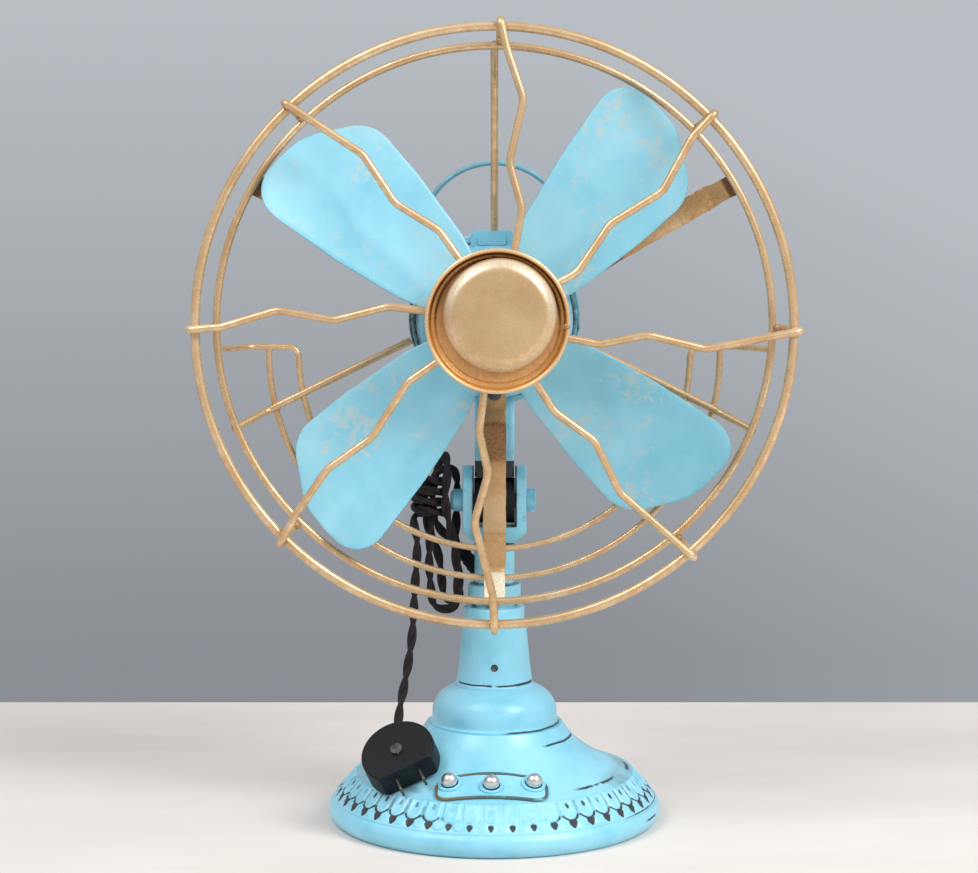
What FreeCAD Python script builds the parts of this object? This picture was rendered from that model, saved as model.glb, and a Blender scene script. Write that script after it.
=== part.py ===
import FreeCAD, Part
import math
import os
from FreeCAD import Placement, Rotation, Vector

# A desk fan with a wire cage, four blades and a turned metal foot.
# Millimetres, +Z up. The origin is the middle of the foot's underside.
# The fan blows towards -Y, and +X is to the right of someone facing it.

os.makedirs("parts", exist_ok=True)

# ---------------------------------------------------------------- clearances
running_gap = 0.05        # radial room of a shaft or bolt that turns in its hole
sliding_gap = 0.3         # room between faces that pass one another
screw_gap = 0.1           # radial room of a fixed screw in its hole
weld_bite = 0.15          # how far two welded wires sink into one another

# ---------------------------------------------------------------- foot
rim_radius = 88.7
rim_height = 12.0         # height of the rounded rim
rim_widest = 0.45         # share of the rim's height where it is widest
foot_inset = 3.9          # the foot's edge inside the rim
rim_top_inset = 2.5       # the rim's upper edge inside its widest line
band_ledge = 1.7          # step from the rim to the sloping ornamental band
band_step = 2.0
band_run = 10.5           # how far the band goes in, and how far it climbs
band_rise = 11.3
skirt_top_radius = 36.4
skirt_height = 52.0
flare_low_pull = (-18.0, 6.7)     # how the flare leaves the band, radius and height
flare_high_pull = (6.6, -11.5)    # how it arrives at the top
skirt_wall = 2.6
crown_thickness = 4.0     # flat plate across the top of the skirt

bulge_ledge = 1.8         # the bulge's foot inside the top of the skirt
bulge_lip_inset = 1.3
bulge_height = 20.3
bulge_lip = 1.4
bulge_waist = 0.25        # share of its height where the bulge starts to round
bulge_shoulder_in = 0.24  # a point of its shoulder, as shares of its reach and height
bulge_shoulder_up = 0.71
column_foot_radius = 20.8
column_waist_radius = 18.4
column_top_radius = 16.9
column_height = 34.7
column_wall = 5.0
bulge_wall = 6.0

# ---------------------------------------------------------------- stem and fork
flange_inset = 0.9        # the flange inside the top of the column
flange_height = 8.0
groove_radius = 12.4
groove_height = 3.0
collar_radius = 14.0
collar_height = 9.0
neck_radius = 10.65
neck_height = 23.0
fork_floor = 8.5
fork_taper = 5.5          # height over which the fork widens from the neck
fork_cheek_thickness = 5.85
fork_gap = 22.0
fork_depth = 24.0
pivot_floor_gap = 0.9     # between the friction washers and the fork's floor
set_screw_radius = 2.0
set_screw_rise = 12.2     # above the foot of the column
set_screw_length = 9.0
set_screw_sunk = 0.8

# ---------------------------------------------------------------- tie through the foot
tie_radius = 5.0
tie_bore = 2.6
tie_nut_radius = 9.0
tie_nut_height = 6.0
tie_tail = 2.0
tie_grip = 16.0           # how far the tube screws into the stem

# ---------------------------------------------------------------- underside cover
cover_recess = 2.7
cover_thickness = 2.0
cover_edge_gap = 0.6
boss_inset = 22.8         # the bosses' centres inside the foot's edge
boss_radius = 4.5
boss_angles = (90.0, 210.0, 330.0)
cover_screw_radius = 1.6
cover_screw_length = 12.0
cover_screw_head_radius = 3.4
cover_screw_head_height = 1.8

# ---------------------------------------------------------------- switch
switch_place = 0.25       # share of the way up the flare
switch_turn = -1.4        # degrees about Z
button_step = 20.2        # degrees about Z between buttons
plate_length = 56.0
plate_width = 17.5
plate_corner = 6.5
plate_thickness = 1.0
socket_radius = 6.2
socket_height = 1.1
button_ball_radius = 4.2
button_proud = 3.6        # ball's centre above the skirt
button_hole_gap = 0.3
button_stem_radius = 2.1
button_stem_depth = 10.0
button_flange_radius = 3.6
button_flange_thickness = 1.2
switch_lip_depth = 3.4    # below the skirt's surface
switch_lip_thickness = 1.6
switch_floor_depth = 13.0
switch_floor_thickness = 2.0
switch_box_side = 14.0
switch_cavity_gap = 0.4
switch_back_depth = 7.0
switch_back_height = 9.0
spring_wire_radius = 0.35
spring_turns = 4.5
spring_end_gap = 0.1

# ---------------------------------------------------------------- tilt joint
bolt_radius = 4.0
bolt_head_radius = 6.0
bolt_head_length = 6.6
bolt_head_round = 2.3
bolt_nut_radius = 6.5
bolt_nut_length = 5.0
washer_radius = 12.0
washer_overhang = 0.5     # the washers past the tongue between them
tongue_width = 12.0
post_side_gap = 0.5       # between the post and the fork's cheeks
post_depth = 16.0
post_shoulder = 13.0      # above the pivot, where the post fills the fork
cheek_rise = 18.6         # tops of the fork's cheeks above the pivot

# ---------------------------------------------------------------- motor
axis_above_pivot = 96.6
motor_radius = 45.2
motor_wall = 2.2
motor_edge = 5.0
motor_front = -18.0       # Y of the motor's front face
motor_split = 8.0
motor_back = 46.0
motor_dome = 14.0         # length of the rear dome
motor_dome_inset = 12.6   # how far it draws in
bearing_radius = 7.0
bearing_boss_radius = 11.0
bearing_length = 13.0
shaft_radius = 4.0
stator_inner_radius = 22.0
stator_length = 26.0
stator_start = 0.0
coil_wire_radius = 6.0
coil_gap = 0.5
air_gap = 0.4
through_bolt_inset = 7.2  # the long bolts inside the motor's outer face
through_bolt_radius = 1.8
through_bolt_head_radius = 3.6
through_bolt_head_height = 2.4
through_bolt_end = 30.0

handle_radius = 39.5
handle_rise = 42.0
handle_wire_radius = 1.4
handle_y = 20.0

# ---------------------------------------------------------------- blades
blade_ahead = 2.0         # the blades' plane in front of the rear ring
blade_angles = (49.0, 137.8, 225.9, 320.2)
blade_pitch = 18.0
blade_thickness = 1.2
blade_bury = 4.0          # how far a blade is let into the hub
blade_inner_half_width = 12.5
blade_tip_inset = 4.8     # a blade's tip inside the rear ring's middle line
# round a blade from its trailing neck: share of the way to the tip, distance across, bend
blade_outline = (
    (0.313, -23.6, 60.0),
    (0.583, -31.3, 80.0),
    (0.838, -35.8, 20.0),
    (0.986, -6.0, 28.0),
    (1.0, 12.0, 80.0),
    (0.985, 38.5, 17.0),
    (0.583, 31.3, 80.0),
    (0.313, 23.6, 60.0),
)
hub_radius = 19.0
hub_half_length = 11.0
hub_nut_radius = 8.0
hub_nut_length = 7.0

# ---------------------------------------------------------------- cage
cage_drop = 1.9           # the rings' middle below the fan's axis
front_ring_radius = 150.8
front_ring_wire = 2.45
front_ring_y = -60.0
ring_inset = 8.8          # the rear ring inside the front one, and behind it
ring_spacing = 19.0
rear_ring_wire = 2.0
cage_wire = 2.0
# the hand-bent front wires: angle at the dish, angle at the front ring, and the bends
# between as shares of the way and distances aside, clockwise seen from the front
front_wires = (
    (-13.9, -0.3, ((0.147, 4.0), (0.351, -0.1), (0.596, 7.8))),
    (32.2, 44.5, ((0.098, 3.9), (0.348, -0.6), (0.602, 7.5), (0.856, -0.1))),
    (76.4, 88.9, ((0.189, 5.5), (0.392, 0.4), (0.657, 9.3), (0.875, 2.4))),
    (121.3, 132.8, ((0.157, 4.2), (0.373, -0.3), (0.610, 7.0))),
    (172.3, 180.1, ((0.164, 4.1), (0.393, -0.7), (0.623, 6.5), (0.860, 0.2))),
    (214.1, 225.0, ((0.158, 4.9), (0.423, 0.2), (0.639, 6.7), (0.851, 3.9))),
    (259.2, 270.0, ((0.177, 3.7), (0.348, -0.1), (0.544, 8.0), (0.844, 0.2))),
    (301.8, 311.1, ((0.156, 3.1), (0.359, -2.1), (0.590, 5.8))),
)
front_wire_bend = 13.0
front_hook_past = 3.0     # the hook's bend outside the front ring's middle line
front_hook_bend = 2.6
front_hook_back = 6.0     # how far the hook runs straight back over the ring
lower_wire = 1.65
lower_sink = 1.65         # the inner lower arc behind the middle of the strap it crosses
lower_drop = 16.0         # centre of the two lower arcs below the rings' middle
lower_inner_radius = 101.5
lower_middle_radius = 117.0
lower_rail_drop = 11.6
lower_corner = 6.0
lower_bend_inset = 15.0   # the rails' bends inside the rear ring
lower_bend_radius = 9.0
spoke_bend_inset = 16.0   # the spokes' bends inside the rear ring
spoke_motor_depth = 7.0   # where they meet the motor, behind its front face
spoke_bend = 8.0
spoke_outer_angles = (90.0, 201.3, 338.2)
spoke_inner_angles = (90.0, 194.0, 345.0)
strap_angles = (30.0, 150.0, 270.0)
strap_width = 12.0
strap_thickness = 1.6
strap_tail = 8.0          # how far a strap runs inwards from its bolt
strap_heel = 0.8          # how far it lies flat past the motor's edge
# its later bends: share of the way to the rear ring, and how far in front of the motor
strap_profile = ((0.083, 3.6), (0.302, -1.2), (0.667, 3.2), (0.859, 5.8))

dish_shift = Vector(1.5, 0, 2.8)       # the dish's middle from the fan's axis
badge_shift = Vector(1.25, 0, 2.9)     # the badge's middle from the dish's
dish_radius = 36.3
dish_sheet = 1.6
dish_proud = 12.0         # the dish's back in front of the front ring
dish_rim_depth = 4.6
badge_inset = 7.7
badge_bevel = 4.0
badge_proud = 7.6

# ---------------------------------------------------------------- cord and plug
cord_radius = 2.5
cord_bend_share = 0.45    # of the shorter run that a bend of the cord takes up
gland_start_radius = 5.73
gland_rise = 1.5          # above the collar
gland_direction = Vector(-0.62, 0.35, 0.70)
gland_length = 14.0
gland_base_radius = 4.6
gland_mouth_radius = 3.3

plug_middle = Vector(-48.6, -45.4, 42.2)
plug_face = Vector(-0.252, -0.605, 0.756)       # the way the plug's cover looks
plug_pins_way = Vector(0.341, -0.786, -0.515)   # the way the pins point
plug_radius = 19.5
plug_thickness = 14.6
plug_flat = 13.0          # the flat that carries the pins, from the middle
plug_edge = 1.6
pin_spacing = 12.7
pin_width = 6.3
pin_thickness = 1.5
pin_length = 14.0
pin_root = 6.0
plug_screw_radius = 1.5
plug_screw_head_radius = 3.2
plug_screw_head_height = 1.6
plug_screw_slot = 1.0

# the loose runs of the cord, point by point
lead_route = (
    Vector(-13.71, 7.715, 138.33),
    Vector(-21.4, 12.1, 147.1),
    Vector(-29.0, 12.5, 157.0),
    Vector(-33.0, 8.5, 167.0),
)
drop_route = (
    Vector(-38.5, 0.0, 147.0),
    Vector(-42.5, -3.5, 124.0),
    Vector(-43.3, -9.5, 101.0),
    Vector(-46.2, -13.5, 80.0),
    Vector(-48.9, -20.2, 62.6),
    Vector(-48.81, -30.2, 54.3),
)
# the hank of loops that hangs over the tilt bolt: height, middle x, half width, half depth
hank_middle_y = 3.0
hank_sections = (
    (114.5, -26.0, 6.0, 3.5),
    (118.5, -27.5, 11.0, 7.0),
    (135.0, -29.0, 12.5, 8.5),
    (150.0, -30.0, 12.0, 8.5),
    (165.0, -30.5, 11.0, 8.5),
    (178.0, -28.5, 8.5, 7.5),
    (190.0, -26.8, 5.5, 5.0),
    (197.0, -26.0, 2.5, 2.5),
)

# ---------------------------------------------------------------- worked out from the above
foot_radius = rim_radius - foot_inset
rim_top_radius = rim_radius - rim_top_inset
band_low_radius = rim_top_radius - band_ledge
band_low_height = rim_height + band_step
band_high_radius = band_low_radius - band_run
band_high_height = band_low_height + band_rise
bulge_foot_radius = skirt_top_radius - bulge_ledge
bulge_radius = bulge_foot_radius - bulge_lip_inset
boss_circle = foot_radius - boss_inset
bulge_base = skirt_height
column_base = bulge_base + bulge_height
stem_base = column_base + column_height
groove_base = stem_base + flange_height
collar_base = groove_base + groove_height
neck_base = collar_base + collar_height
fork_base = neck_base + neck_height
fork_inside = fork_base + fork_floor
flange_radius = column_top_radius - flange_inset
fork_width = fork_gap + 2 * fork_cheek_thickness
set_screw_height = column_base + set_screw_rise
washer_thickness = (fork_gap - tongue_width) / 2 - sliding_gap
tongue_radius = washer_radius - washer_overhang
post_width = fork_gap - 2 * post_side_gap
fork_waist = fork_base + fork_taper
pivot_height = fork_inside + washer_radius + pivot_floor_gap
axis_height = pivot_height + axis_above_pivot
fork_top_centre = pivot_height + cheek_rise - fork_depth / 2
stator_radius = motor_radius - motor_wall
coil_radius = (stator_inner_radius + stator_radius) / 2
through_bolt_circle = motor_radius - through_bolt_inset

rear_ring_radius = front_ring_radius - ring_inset
rear_ring_y = front_ring_y + ring_spacing
blade_plane = rear_ring_y - blade_ahead
blade_inner = hub_radius - blade_bury
blade_tip = rear_ring_radius - blade_tip_inset
hub_front = blade_plane - hub_half_length
hub_back = blade_plane + hub_half_length
dish_back = front_ring_y - dish_proud
badge_radius = dish_radius - badge_inset
badge_face_radius = badge_radius - badge_bevel
strap_seat = motor_front - strap_thickness / 2
strap_foot = motor_radius + strap_heel
strap_ring_y = rear_ring_y + rear_ring_wire + strap_thickness / 2 - weld_bite


def ring_reach(angle):
    """Distance from the fan's axis to the rear ring's middle line, in one direction."""
    a = math.radians(angle)
    across = cage_drop * math.cos(a)
    return math.sqrt(rear_ring_radius ** 2 - across ** 2) - cage_drop * math.sin(a)


def strap_line(angle):
    """Middle line of a strap as (distance from the fan's axis, Y) corners."""
    reach = ring_reach(angle)
    line = [(through_bolt_circle - strap_tail, strap_seat), (strap_foot, strap_seat)]
    for share, ahead in strap_profile:
        line.append((strap_foot + share * (reach - strap_foot), strap_seat - ahead))
    line.append((reach, strap_ring_y))
    return line


def strap_y(angle, radius):
    """Y of a strap's middle at a distance from the fan's axis."""
    line = strap_line(angle)
    for (r0, y0), (r1, y1) in zip(line, line[1:]):
        if radius <= r1:
            return y0 + (y1 - y0) * (radius - r0) / (r1 - r0)
    return strap_ring_y


lower_y = strap_y(strap_angles[-1], cage_drop + lower_drop + lower_inner_radius) + lower_sink
spoke_y = lower_y - lower_wire - cage_wire + weld_bite
button_hole_radius = button_ball_radius + button_hole_gap
switch_cavity_radius = button_flange_radius + switch_cavity_gap

UP = Vector(0, 0, 1)
BACK = Vector(0, 1, 0)
RIGHT = Vector(1, 0, 0)
HEART = Vector(0, 0, axis_height)       # where the fan's axis crosses the foot's
CAGE = HEART - UP * cage_drop           # the middle of the cage's rings
DISH = HEART + dish_shift


# ---------------------------------------------------------------- helpers
def save(node, shape):
    """Writes one piece, or one group of identical loose pieces, as its own file."""
    shape.exportStep("parts/" + node + ".step")


def cylinder(radius, start, end):
    """A round bar between two points."""
    return Part.makeCylinder(radius, (end - start).Length, start, end - start)


def turned_up(points):
    """A solid turned about Z from (radius, height) corners."""
    corners = [Vector(radius, 0, height) for radius, height in points]
    face = Part.Face(Part.makePolygon(corners + corners[:1]))
    return face.revolve(Vector(0, 0, 0), UP, 360)


def turned_fan(points, middle=HEART):
    """A solid turned about a line along Y through a middle, from (radius, Y) corners."""
    corners = [Vector(middle.x + radius, y, middle.z) for radius, y in points]
    face = Part.Face(Part.makePolygon(corners + corners[:1]))
    return face.revolve(middle, BACK, 360)


def fan_point(angle, radius, y, middle=HEART):
    """A point at an angle from +X towards +Z about a middle."""
    a = math.radians(angle)
    return Vector(middle.x + radius * math.cos(a), y, middle.z + radius * math.sin(a))


def bent_edges(points, bend_radii):
    """Straight runs joined by tangent arcs, one radius for each inner point."""
    edges = []
    reached = points[0]
    for before, corner, after, radius in zip(points, points[1:], points[2:], bend_radii):
        way_in = (before - corner).normalize()
        way_out = (after - corner).normalize()
        half_turn = (math.pi - way_in.getAngle(way_out)) / 2
        setback = radius * math.tan(half_turn)
        arc_start = corner + way_in * setback
        arc_end = corner + way_out * setback
        inwards = (way_in + way_out).normalize()
        arc_top = corner + inwards * (radius / math.cos(half_turn) - radius)
        edges.append(Part.LineSegment(reached, arc_start).toShape())
        edges.append(Part.Arc(arc_start, arc_top, arc_end).toShape())
        reached = arc_end
    edges.append(Part.LineSegment(reached, points[-1]).toShape())
    return edges


def swept(edges, radius):
    """A round wire along a chain of edges."""
    path = Part.Wire(edges)
    start = path.Vertexes[0].Point
    first = path.Edges[0]
    way = first.tangentAt(first.FirstParameter)
    section = Part.Wire(Part.makeCircle(radius, start, way))
    return path.makePipeShell([section], True, False)


def bent_wire(points, radius, bend):
    """A round wire with every bend of the same radius."""
    return swept(bent_edges(points, [bend] * (len(points) - 2)), radius)


def cord_radii(route):
    """Largest gentle arcs: a share of the shorter run over the tangent of half the turn."""
    radii = []
    for before, corner, after in zip(route, route[1:], route[2:]):
        run = min((corner - before).Length, (after - corner).Length)
        turn = (corner - before).getAngle(after - corner)
        radii.append(cord_bend_share * run / math.tan(turn / 2))
    return radii


def cord_tube(name, route):
    """One loose run of the cord, with its radii and volume printed."""
    radii = cord_radii(route)
    edges = bent_edges(route, radii)
    tube = swept(edges, cord_radius)
    length = sum(edge.Length for edge in edges)
    share = tube.Volume / (math.pi * cord_radius ** 2 * length)
    print(name, "length", round(length, 1), "volume share", round(share, 4))
    print(name, "radii", [round(r, 1) for r in radii])
    return tube


# ---------------------------------------------------------------- foot
band_high = Vector(band_high_radius, 0, band_high_height)
skirt_top = Vector(skirt_top_radius, 0, skirt_height)
flare_poles = (
    band_high,
    band_high + Vector(flare_low_pull[0], 0, flare_low_pull[1]),
    skirt_top + Vector(flare_high_pull[0], 0, flare_high_pull[1]),
    skirt_top,
)


def flare_edge(low_shift, high_shift):
    """The flare of the skirt as one smooth curve, moved by a shift at each end."""
    curve = Part.BezierCurve()
    low_a, low_b, high_a, high_b = flare_poles
    curve.setPoles([low_a + low_shift, low_b + low_shift, high_a + high_shift, high_b + high_shift])
    return curve.toShape()


def flare_point(share):
    """The point of the flare at a share of its way up, and the slope there in degrees."""
    curve = Part.BezierCurve()
    curve.setPoles(list(flare_poles))
    way = curve.tangent(share)[0]
    return curve.value(share), math.degrees(math.atan2(way.z, -way.x))


def chain(*points):
    """Straight edges through points."""
    return [Part.LineSegment(a, b).toShape() for a, b in zip(points, points[1:])]


def skirt_outline():
    """Outer face of the skirt from its foot to its top, as edges in the XZ plane."""
    foot = Vector(foot_radius, 0, 0)
    rim_side = Vector(rim_radius, 0, rim_height * rim_widest)
    rim_top = Vector(rim_top_radius, 0, rim_height)
    band_low = Vector(band_low_radius, 0, band_low_height)
    rim = Part.Arc(foot, rim_side, rim_top).toShape()
    return [rim] + chain(rim_top, band_low, band_high) + [flare_edge(Vector(), Vector())]


def skirt_blank():
    """The skirt as if it were solid."""
    closing = chain(skirt_top, Vector(0, 0, skirt_height), Vector(0, 0, 0), Vector(foot_radius, 0, 0))
    return Part.Face(Part.Wire(skirt_outline() + closing)).revolve(Vector(), UP, 360)


def skirt_hollow():
    """The room inside the skirt, open at the foot."""
    ceiling = skirt_height - crown_thickness
    slope = math.atan2(flare_low_pull[1], -flare_low_pull[0])
    low_shift = Vector(-math.sin(slope), 0, -math.cos(slope)) * skirt_wall
    high_shift = Vector(-skirt_wall, 0, -crown_thickness)
    band_inside = Vector(band_low_radius - skirt_wall, 0, band_low_height - skirt_wall)
    foot_inside = Vector(foot_radius - skirt_wall, 0, 0)
    edges = chain(foot_inside, band_inside, band_high + low_shift)
    edges.append(flare_edge(low_shift, high_shift))
    edges += chain(skirt_top + high_shift, Vector(0, 0, ceiling), Vector(), foot_inside)
    return Part.Face(Part.Wire(edges)).revolve(Vector(), UP, 360)


def boss_places():
    """Where the three cover bosses stand, seen from above."""
    places = []
    for angle in boss_angles:
        a = math.radians(angle)
        places.append(Vector(boss_circle * math.cos(a), boss_circle * math.sin(a), 0))
    return places


switch_point, switch_slope = flare_point(switch_place)


def at_switch(shape, turn=0.0):
    """Takes a piece drawn about the skirt's own surface point to its place on the skirt."""
    tilt = Rotation(RIGHT, switch_slope)
    around = Rotation(UP, switch_turn + turn)
    where = around.multVec(Vector(0, -switch_point.x, switch_point.z))
    placed = shape.copy()
    placed.Placement = Placement(where, around.multiply(tilt)).multiply(shape.Placement)
    return placed


button_turns = {"left": -button_step, "middle": 0.0, "right": button_step}


def button_holes():
    """Three round holes through whatever lies under the buttons."""
    reach = switch_lip_depth + skirt_wall
    hole = Part.makeCylinder(button_hole_radius, 2 * reach, Vector(0, 0, -switch_lip_depth))
    return [at_switch(hole, turn) for turn in button_turns.values()]


def make_foot():
    """Skirt, bulge, column, the cover under them and the tie that clamps them."""
    blank = skirt_blank()
    hollow = skirt_hollow()
    cover_top = cover_recess + cover_thickness
    shell = blank.cut(hollow)
    for place in boss_places():
        boss = Part.makeCylinder(boss_radius, skirt_height, place + UP * cover_top)
        shell = shell.fuse(boss.common(blank))
    for place in boss_places():
        start = place + UP * cover_top
        shell = shell.cut(Part.makeCylinder(cover_screw_radius + screw_gap, cover_screw_length, start))
    shell = shell.cut(Part.makeCylinder(tie_radius + screw_gap, skirt_height))
    for hole in button_holes():
        shell = shell.cut(hole)
    save("base_skirt", shell.removeSplitter())

    bulge_top = bulge_base + bulge_height
    low = Vector(bulge_foot_radius, 0, bulge_base)
    lip = Vector(bulge_radius, 0, bulge_base + bulge_lip)
    waist = Vector(bulge_radius, 0, bulge_base + bulge_height * bulge_waist)
    shoulder_in = (bulge_radius - column_foot_radius) * bulge_shoulder_in
    shoulder = Vector(bulge_radius - shoulder_in, 0, bulge_base + bulge_height * bulge_shoulder_up)
    crown = Vector(column_foot_radius, 0, bulge_top)
    bulge_inside = column_foot_radius - bulge_wall
    inner_top = Vector(bulge_inside, 0, bulge_top)
    inner_low = Vector(bulge_inside, 0, bulge_base)
    edges = chain(low, lip, waist)
    edges.append(Part.Arc(waist, shoulder, crown).toShape())
    edges += chain(crown, inner_top, inner_low, low)
    bulge = Part.Face(Part.Wire(edges)).revolve(Vector(), UP, 360)
    save("bulge_collar", bulge)

    foot = Vector(column_foot_radius - screw_gap, 0, column_base)
    waist = Vector(column_waist_radius, 0, column_base + column_height / 2)
    top = Vector(column_top_radius, 0, stem_base)
    bore = column_top_radius - column_wall
    edges = [Part.Arc(foot, waist, top).toShape()]
    edges += chain(top, Vector(bore, 0, stem_base), Vector(bore, 0, column_base), foot)
    column = Part.Face(Part.Wire(edges)).revolve(Vector(), UP, 360)
    screw_start = Vector(0, -column_foot_radius, set_screw_height)
    column = column.cut(Part.makeCylinder(set_screw_radius, column_foot_radius, screw_start, BACK))
    save("column", column)

    screw_face = Vector(0, set_screw_sunk - column_waist_radius, set_screw_height)
    save("set_screw", Part.makeCylinder(set_screw_radius - screw_gap, set_screw_length, screw_face, BACK))

    crown_below = skirt_height - crown_thickness
    tie_bottom = crown_below - tie_nut_height - tie_tail
    tie_top = stem_base + tie_grip
    tube = cylinder(tie_radius, UP * tie_bottom, UP * tie_top)
    tube = tube.cut(cylinder(tie_bore, Vector(), UP * 2 * tie_top))
    save("tie_tube", tube)
    nut = hexagon(tie_nut_radius, tie_nut_height, UP * (crown_below - tie_nut_height), UP)
    nut = nut.cut(cylinder(tie_radius, Vector(), UP * skirt_height))
    save("tie_nut", nut)

    cover_radius = foot_radius - skirt_wall - cover_edge_gap
    cover = Part.makeCylinder(cover_radius, cover_thickness, UP * cover_recess)
    screws = []
    for place in boss_places():
        hole = Part.makeCylinder(cover_screw_radius + screw_gap, skirt_height, place)
        cover = cover.cut(hole)
        head_low = place + UP * (cover_recess - cover_screw_head_height)
        head = Part.makeCylinder(cover_screw_head_radius, cover_screw_head_height, head_low)
        screw = head.fuse(Part.makeCylinder(cover_screw_radius, cover_screw_length, head_low))
        slot_side = cover_screw_head_height / 2
        slot = Part.makeBox(2 * cover_screw_head_radius, slot_side, slot_side)
        slot.translate(head_low - Vector(cover_screw_head_radius, slot_side / 2, 0))
        screws.append(screw.cut(slot).removeSplitter())
    save("base_cover", cover)
    save("cover_screws", Part.makeCompound(screws))


def hexagon(radius, height, start, way):
    """A hexagonal prism, radius to its corners."""
    corners = []
    for angle in range(0, 360, 60):
        a = math.radians(angle)
        corners.append(Vector(radius * math.cos(a), radius * math.sin(a), 0))
    face = Part.Face(Part.makePolygon(corners + corners[:1]))
    prism = face.extrude(UP * height)
    prism.Placement = Placement(start, Rotation(UP, way))
    return prism


# ---------------------------------------------------------------- switch
def make_switch():
    """Plate with three sockets, the switch box under it, three buttons and their springs."""
    blank = skirt_blank()
    shell = blank.cut(skirt_hollow())
    slope = math.atan2(flare_low_pull[1], -flare_low_pull[0])
    raised = Vector(math.sin(slope), 0, math.cos(slope)) * plate_thickness
    low_a, _, _, high_b = flare_poles
    skin_edges = [flare_edge(Vector(), Vector())] + chain(high_b, high_b + raised)
    skin_edges += [flare_edge(raised, raised)] + chain(low_a + raised, low_a)
    skin = Part.Face(Part.Wire(Part.__sortEdges__(skin_edges))).revolve(Vector(), UP, 360)

    reach = plate_thickness + plate_width
    stamp = Part.makeBox(plate_length, plate_width, 2 * reach)
    stamp.translate(Vector(-plate_length / 2, -plate_width / 2, -reach))
    uprights = [edge for edge in stamp.Edges if abs(edge.tangentAt(0).z) > 0.5]
    stamp = stamp.makeFillet(plate_corner, uprights)
    plate = skin.common(at_switch(stamp))
    socket_top = plate_thickness + socket_height
    socket = Part.makeCylinder(socket_radius, socket_top + skirt_wall, Vector(0, 0, -skirt_wall))
    for turn in button_turns.values():
        plate = plate.fuse(at_switch(socket, turn).cut(blank))
    for hole in button_holes():
        plate = plate.cut(hole)
    save("switch_plate", plate.removeSplitter())

    box_depth = switch_floor_depth + switch_floor_thickness
    block = None
    for turn in button_turns.values():
        box = Part.makeBox(switch_box_side, switch_box_side, box_depth - skirt_wall / 2)
        box.translate(Vector(-switch_box_side / 2, -switch_box_side / 2, -box_depth))
        placed = at_switch(box, turn)
        block = placed if block is None else block.fuse(placed)
    half_span = switch_point.x * math.sin(math.radians(button_step))
    back = Part.makeBox(2 * half_span, switch_back_depth, switch_back_height)
    back.translate(Vector(-half_span, switch_box_side / 2 - switch_back_depth, -box_depth))
    block = block.fuse(at_switch(back)).cut(shell)
    cavity_top = switch_lip_depth + switch_lip_thickness
    for turn in button_turns.values():
        mouth = Part.makeCylinder(button_hole_radius, switch_lip_depth, Vector(0, 0, -switch_lip_depth))
        guide = Part.makeCylinder(button_stem_radius + running_gap, cavity_top, Vector(0, 0, -cavity_top))
        cavity_length = switch_floor_depth - cavity_top
        cavity = Part.makeCylinder(switch_cavity_radius, cavity_length, Vector(0, 0, -switch_floor_depth))
        for cutter in (mouth, guide, cavity):
            block = block.cut(at_switch(cutter, turn))
    save("switch_block", block.removeSplitter())

    flange_top = -cavity_top - spring_end_gap
    flange_low = flange_top - button_flange_thickness
    ball = Part.makeSphere(button_ball_radius, Vector(0, 0, button_proud))
    stem_length = button_stem_depth + button_proud
    stem = Part.makeCylinder(button_stem_radius, stem_length, Vector(0, 0, -button_stem_depth))
    flange = Part.makeCylinder(button_flange_radius, button_flange_thickness, Vector(0, 0, flange_low))
    button = ball.fuse(stem).fuse(flange).removeSplitter()
    spring_low = -switch_floor_depth + spring_wire_radius + spring_end_gap
    spring_high = flange_low - spring_wire_radius - spring_end_gap
    spring_radius = (button_stem_radius + button_flange_radius) / 2
    pitch = (spring_high - spring_low) / spring_turns
    helix = Part.makeHelix(pitch, spring_high - spring_low, spring_radius)
    section = Part.Wire(Part.makeCircle(spring_wire_radius, Vector(spring_radius, 0, 0), BACK))
    spring = Part.Wire(helix.Edges).makePipeShell([section], True, True)
    spring.translate(Vector(0, 0, spring_low))
    for side, turn in button_turns.items():
        save("button_" + side, at_switch(button, turn))
        save("button_spring_" + side, at_switch(spring, turn))
    way = at_switch(Part.makeLine(Vector(), UP), 0.0)
    print("button way", [round(c, 5) for c in (way.Vertexes[1].Point - way.Vertexes[0].Point)])


# ---------------------------------------------------------------- stem
def fork_cheek(side):
    """One upright of the fork, rounded at its top."""
    thickness = (fork_width - fork_gap) / 2
    inner = side * fork_gap / 2
    low_x = min(inner, inner + side * thickness)
    plate = Part.makeBox(thickness, fork_depth, fork_top_centre - fork_waist)
    plate.translate(Vector(low_x, -fork_depth / 2, fork_waist))
    crown = Part.makeCylinder(fork_depth / 2, thickness, Vector(low_x, 0, fork_top_centre), RIGHT)
    return plate.fuse(crown)


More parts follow.
